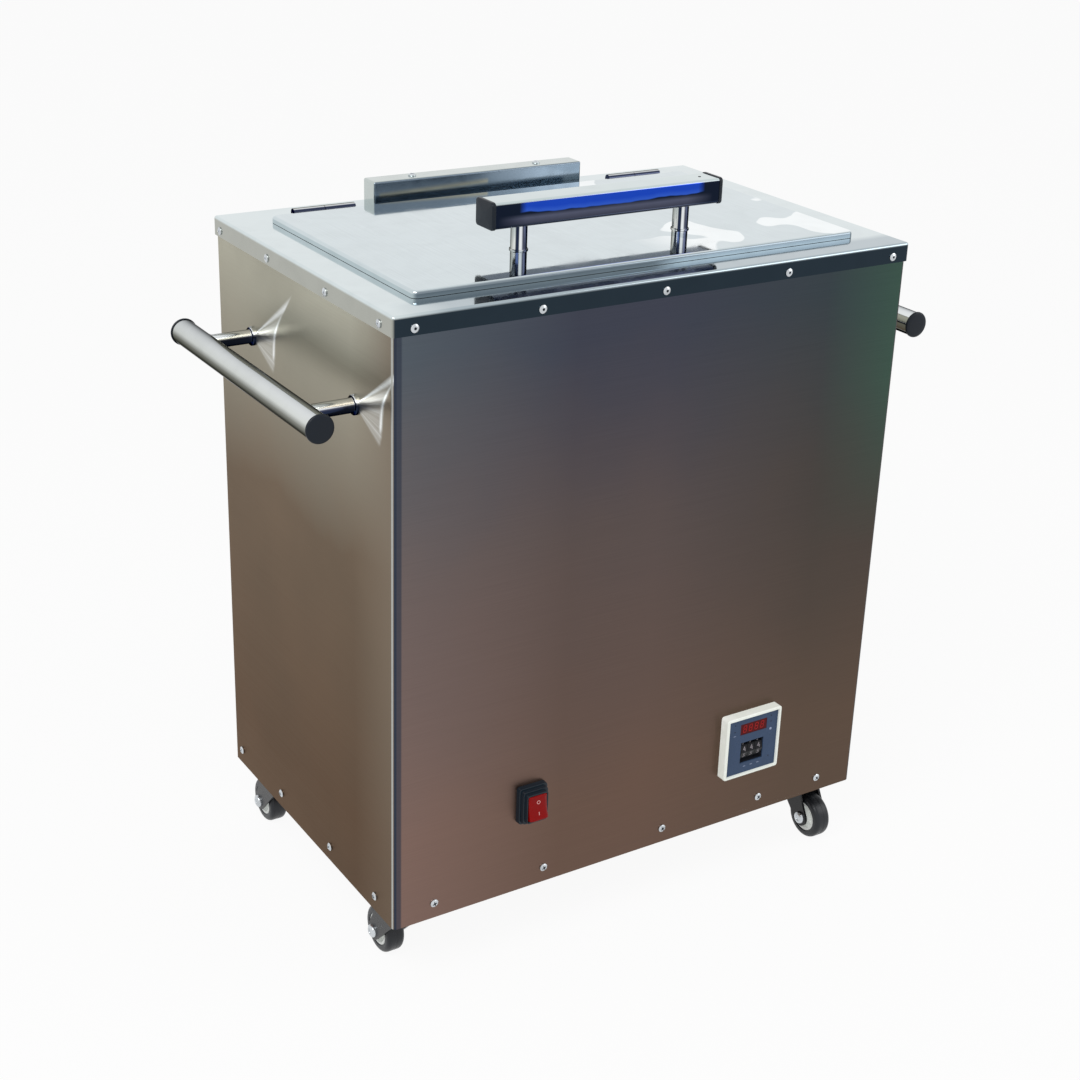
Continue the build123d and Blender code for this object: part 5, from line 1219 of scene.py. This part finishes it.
class HEATER_OT_casters(bpy.types.Operator):
    """Tyres, ribbed cores and axle bolts of the four casters"""

    bl_idname = "heater.casters"
    bl_label = "Casters"

    def execute(self, context):
        """One set at each wheel's own axis."""
        forms = context.scene.heater_forms
        low, high, middle = box_of("front_left_wheel")
        radius, hub = (high[2] - low[2]) / 2, (high[0] - low[0]) / 2
        half, inner = forms.tyre_width / 2, forms.core_radius
        shoulder = 5.0 * MM
        left = arc((radius - shoulder, shoulder - half), shoulder, -90, 0, 8)
        right = arc((radius - shoulder, half - shoulder), shoulder, 0, 90, 8)
        groove_half, groove_depth = 1.1 * MM, 0.25 * MM
        floor = radius - groove_depth, groove_half - 0.2 * MM
        tread = [(radius, -groove_half), (floor[0], -floor[1]), floor, (radius, groove_half)]
        lip = 0.5 * MM
        tyre = stacked(
            [(inner - lip, 1.2 * MM - half), (inner + lip, -half), *left, *tread, *right, (inner + lip, half),
             (inner - lip, half - 1.2 * MM)], 96, join_rows=True,
        )
        angle = np.linspace(0, TAU, 96, endpoint=False)
        web, bore, boss, rib_rise = 4.0 * MM, 4.1 * MM, 8.0 * MM, 3.4 * MM
        ring = np.array([(bore, hub), (boss - 0.6 * MM, hub), (boss, hub - 0.6 * MM),
                         (boss + 0.4 * MM, web + 2 * MM), (boss + 1.6 * MM, web),
                         (inner - 4.6 * MM, web), (inner - 3.6 * MM, half - 2.2 * MM),
                         (inner - 3.0 * MM, half - 0.8 * MM), (inner - 1.2 * MM, half - 0.6 * MM),
                         (inner, half - 1.4 * MM)])
        loop = np.vstack([ring, ring[::-1] * (1, -1)])
        rib = np.exp(-((((angle * forms.ribs) % TAU) - math.pi) ** 2) / 0.18)
        raised = np.isclose(np.abs(loop[:, 1]), web)[:, None] * rib * rib_rise
        lift = loop[:, 1, None] + np.sign(loop[:, 1, None]) * raised
        core = skin(
            np.stack([loop[:, :1] * np.cos(angle), loop[:, :1] * np.sin(angle), lift], -1), join_rows=True
        )
        head = middle[0] - box_of("front_left_axle")[0][0]
        leg = head - 3.5 * MM
        nut = many_sided(13 * MM, 6, 48)
        shank = 4.0 * MM
        bolt = stacked(
            [(2.6 * MM, 0.7 * MM - head), (3.0 * MM, 0.1 * MM - head), (4.6 * MM, -head),
             (6.4 * MM, 0.9 * MM - head), (7 * MM, 2.2 * MM - head), (7 * MM, -leg), (shank, -leg),
             (shank, leg), (nut, leg), (nut, leg + 2.6 * MM), (np.minimum(nut, 6.6 * MM), leg + 3.1 * MM),
             (5.6 * MM, leg + 3.5 * MM), (3.9 * MM, leg + 3.5 * MM), (3.9 * MM, leg + 4.6 * MM),
             (3.3 * MM, leg + 5.0 * MM)], 48,
        )
        for corner in CORNERS:
            spot = np.array(joints[f"{corner}_spin"]["pos_m"])
            spot[0] = box_of(f"{corner}_wheel")[2][0]
            turned = basis(X_AXIS)
            wheel = [f"{corner}_wheel"]
            put(f"{corner}_tyre", copies(tyre, [spot], turned), f"{corner}_roller",
                "tyre rubber", wheel)
            put(f"{corner}_core", copies(core, [spot], turned), f"{corner}_roller",
                "wheel core", wheel)
            put(f"{corner}_axle_bolt", copies(bolt, [spot], turned), f"{corner}_swivel", "zinc",
                [f"{corner}_axle"], crease=25)
        return {"FINISHED"}


class HEATER_OT_drain(bpy.types.Operator):
    """Teeth of the drain's hose barb"""

    bl_idname = "heater.drain"
    bl_label = "Drain"

    def execute(self, context):
        """Three teeth along the barb, each a short rise and a slow fall towards the barb's end."""
        low, high, middle = box_of("drain_valve")
        barb_radius, barb_length, pitch, pipe_height = 6.5 * MM, 16.5 * MM, 4.8 * MM, 12 * MM
        foot, crest = barb_radius - 0.4 * MM, barb_radius + 0.9 * MM
        tooth = stacked([(foot, 0), (crest, 3.6 * MM), (crest, 4.0 * MM), (foot, 4.3 * MM)], 64)
        starts = [(middle[0], high[1] - barb_length + n * pitch, low[2] + pipe_height) for n in range(3)]
        put("barb_teeth", copies(tooth, starts, basis(-Y_AXIS)), "chassis", "brass")
        return {"FINISHED"}


def soft_lamp(name, middle, size, look_at, power):
    """A soft rectangular lamp aimed at a point."""
    data = bpy.data.lights.new(name, "AREA")
    data.shape, data.size, data.size_y = "RECTANGLE", size[0], size[1]
    data.energy = power
    lamp = bpy.data.objects.new(name, data)
    bpy.context.scene.collection.objects.link(lamp)
    lamp.location = middle
    lamp.rotation_mode = "QUATERNION"
    lamp.rotation_quaternion = (Vector(look_at) - Vector(middle)).to_track_quat("-Z", "Y")


def seen_directly(wiring):
    """1 on camera, glossy and transmission rays, 0 on the rest."""
    path = wiring.node("ShaderNodeLightPath").outputs
    both = wiring.math("MAXIMUM", path["Is Camera Ray"], path["Is Glossy Ray"])
    return wiring.math("MAXIMUM", both, path["Is Transmission Ray"])


class HEATER_OT_studio(bpy.types.Operator):
    """Camera at the photograph's angle, pale floor, even sky and two soft lamps"""

    bl_idname = "heater.studio"
    bl_label = "Studio"

    def execute(self, context):
        """Camera, world, floor, lamps."""
        scene, studio = context.scene, context.scene.heater_studio
        # The lens, the shifts, the camera's axes and its place fit the corners of the photographed cabinet.
        data = bpy.data.cameras.new("camera")
        data.sensor_width, data.lens = 36.0, studio.lens
        data.shift_x, data.shift_y = -0.0201, -0.0267
        data.clip_start, data.clip_end = 0.05, 60.0
        camera = bpy.data.objects.new("camera", data)
        scene.collection.objects.link(camera)
        right, up = (0.843147, -0.53653, 0.035192), (0.182026, 0.346412, 0.920253)
        back = (-0.505934, -0.769502, 0.389739)
        turn = Matrix((right, up, back)).transposed().to_4x4()
        eye = (deck_low[0] - 0.69229, y_front - 1.322258, top + 0.457994)
        camera.matrix_world = Matrix.Translation(eye) @ turn
        scene.camera = camera

        world = bpy.data.worlds.new("studio")
        world.use_nodes = True
        scene.world = world
        wiring = Wiring(world.node_tree)
        plain = world.node_tree.nodes["Background"]
        plain.inputs["Color"].default_value = (1, 1, 1, 1)
        plain.inputs["Strength"].default_value = studio.sky
        white = wiring.node("ShaderNodeBackground", {"Color": (1, 1, 1, 1), "Strength": 1.0})
        both = wiring.node(
            "ShaderNodeMixShader", {0: seen_directly(wiring), 1: plain.outputs[0], 2: white.outputs[0]}
        )
        world.node_tree.links.new(both.outputs[0], world.node_tree.nodes["World Output"].inputs["Surface"])

        half_width = 14.0
        rim = np.array([(-1, -1, 0), (1, -1, 0), (1, 1, 0), (-1, 1, 0)]) * half_width
        mesh = bpy.data.meshes.new("floor")
        mesh.from_pydata(rim.tolist(), [], [(0, 1, 2, 3)])
        floor = bpy.data.objects.new("floor", mesh)
        scene.collection.objects.link(floor)
        material = bpy.data.materials.new("pale floor")
        material.use_nodes = True
        tree = material.node_tree
        tree.nodes.remove(tree.nodes["Principled BSDF"])
        wiring = Wiring(tree)
        matt = wiring.node("ShaderNodeBsdfDiffuse", {"Color": (0.92, 0.92, 0.92, 1)})
        glow = wiring.node("ShaderNodeEmission", {"Color": (1, 1, 1, 1), "Strength": 1.0})
        share = wiring.times(seen_directly(wiring), studio.floor_glow)
        mixed = wiring.node("ShaderNodeMixShader", {0: share, 1: matt.outputs[0], 2: glow.outputs[0]})
        tree.links.new(mixed.outputs[0], tree.nodes["Material Output"].inputs["Surface"])
        mesh.materials.append(material)

        aim = (0.0, 0.0, 0.4)
        soft_lamp("key lamp", (-1.6, -1.1, 2.3), (1.6, 1.2), aim, studio.key)
        soft_lamp("fill lamp", (1.9, -1.6, 1.5), (1.4, 1.4), aim, studio.fill)
        scene.view_settings.view_transform = "Standard"
        return {"FINISHED"}


class HEATER_PT_panel(bpy.types.Panel):
    """The heater's operators and settings"""

    bl_idname = "HEATER_PT_panel"
    bl_label = "Hot pack heater"
    bl_space_type = "VIEW_3D"
    bl_region_type = "UI"
    bl_category = "Heater"

    def draw(self, context):
        """One button an operator, then the settings."""
        for operator in OPERATORS:
            self.layout.operator(operator.bl_idname)
        for name, group in GROUPS.items():
            column = self.layout.column(heading=group.__doc__)
            for key in group.__annotations__:
                column.prop(getattr(context.scene, name), key)


GROUPS = {
    "heater_sheet": HeaterSheet,
    "heater_metal": HeaterMetal,
    "heater_trim": HeaterTrim,
    "heater_forms": HeaterForms,
    "heater_studio": HeaterStudio,
}
OPERATORS = (
    HEATER_OT_finishes,
    HEATER_OT_screws,
    HEATER_OT_side_handles,
    HEATER_OT_lid_handle,
    HEATER_OT_controller,
    HEATER_OT_switch,
    HEATER_OT_casters,
    HEATER_OT_drain,
    HEATER_OT_studio,
)


def register():
    """Make the settings, operators and panel known."""
    for made in (*GROUPS.values(), *OPERATORS, HEATER_PT_panel):
        bpy.utils.register_class(made)
    for name, group in GROUPS.items():
        setattr(bpy.types.Scene, name, PointerProperty(type=group))


def unregister():
    """Take them away again."""
    for name in GROUPS:
        delattr(bpy.types.Scene, name)
    for made in (HEATER_PT_panel, *reversed(OPERATORS), *reversed(GROUPS.values())):
        bpy.utils.unregister_class(made)


def main():
    """Run every operator in order and write both boxes."""
    register()
    for operator in OPERATORS:
        space, _, call = operator.bl_idname.partition(".")
        getattr(getattr(bpy.ops, space), call)()


if __name__ == "__main__":
    main()
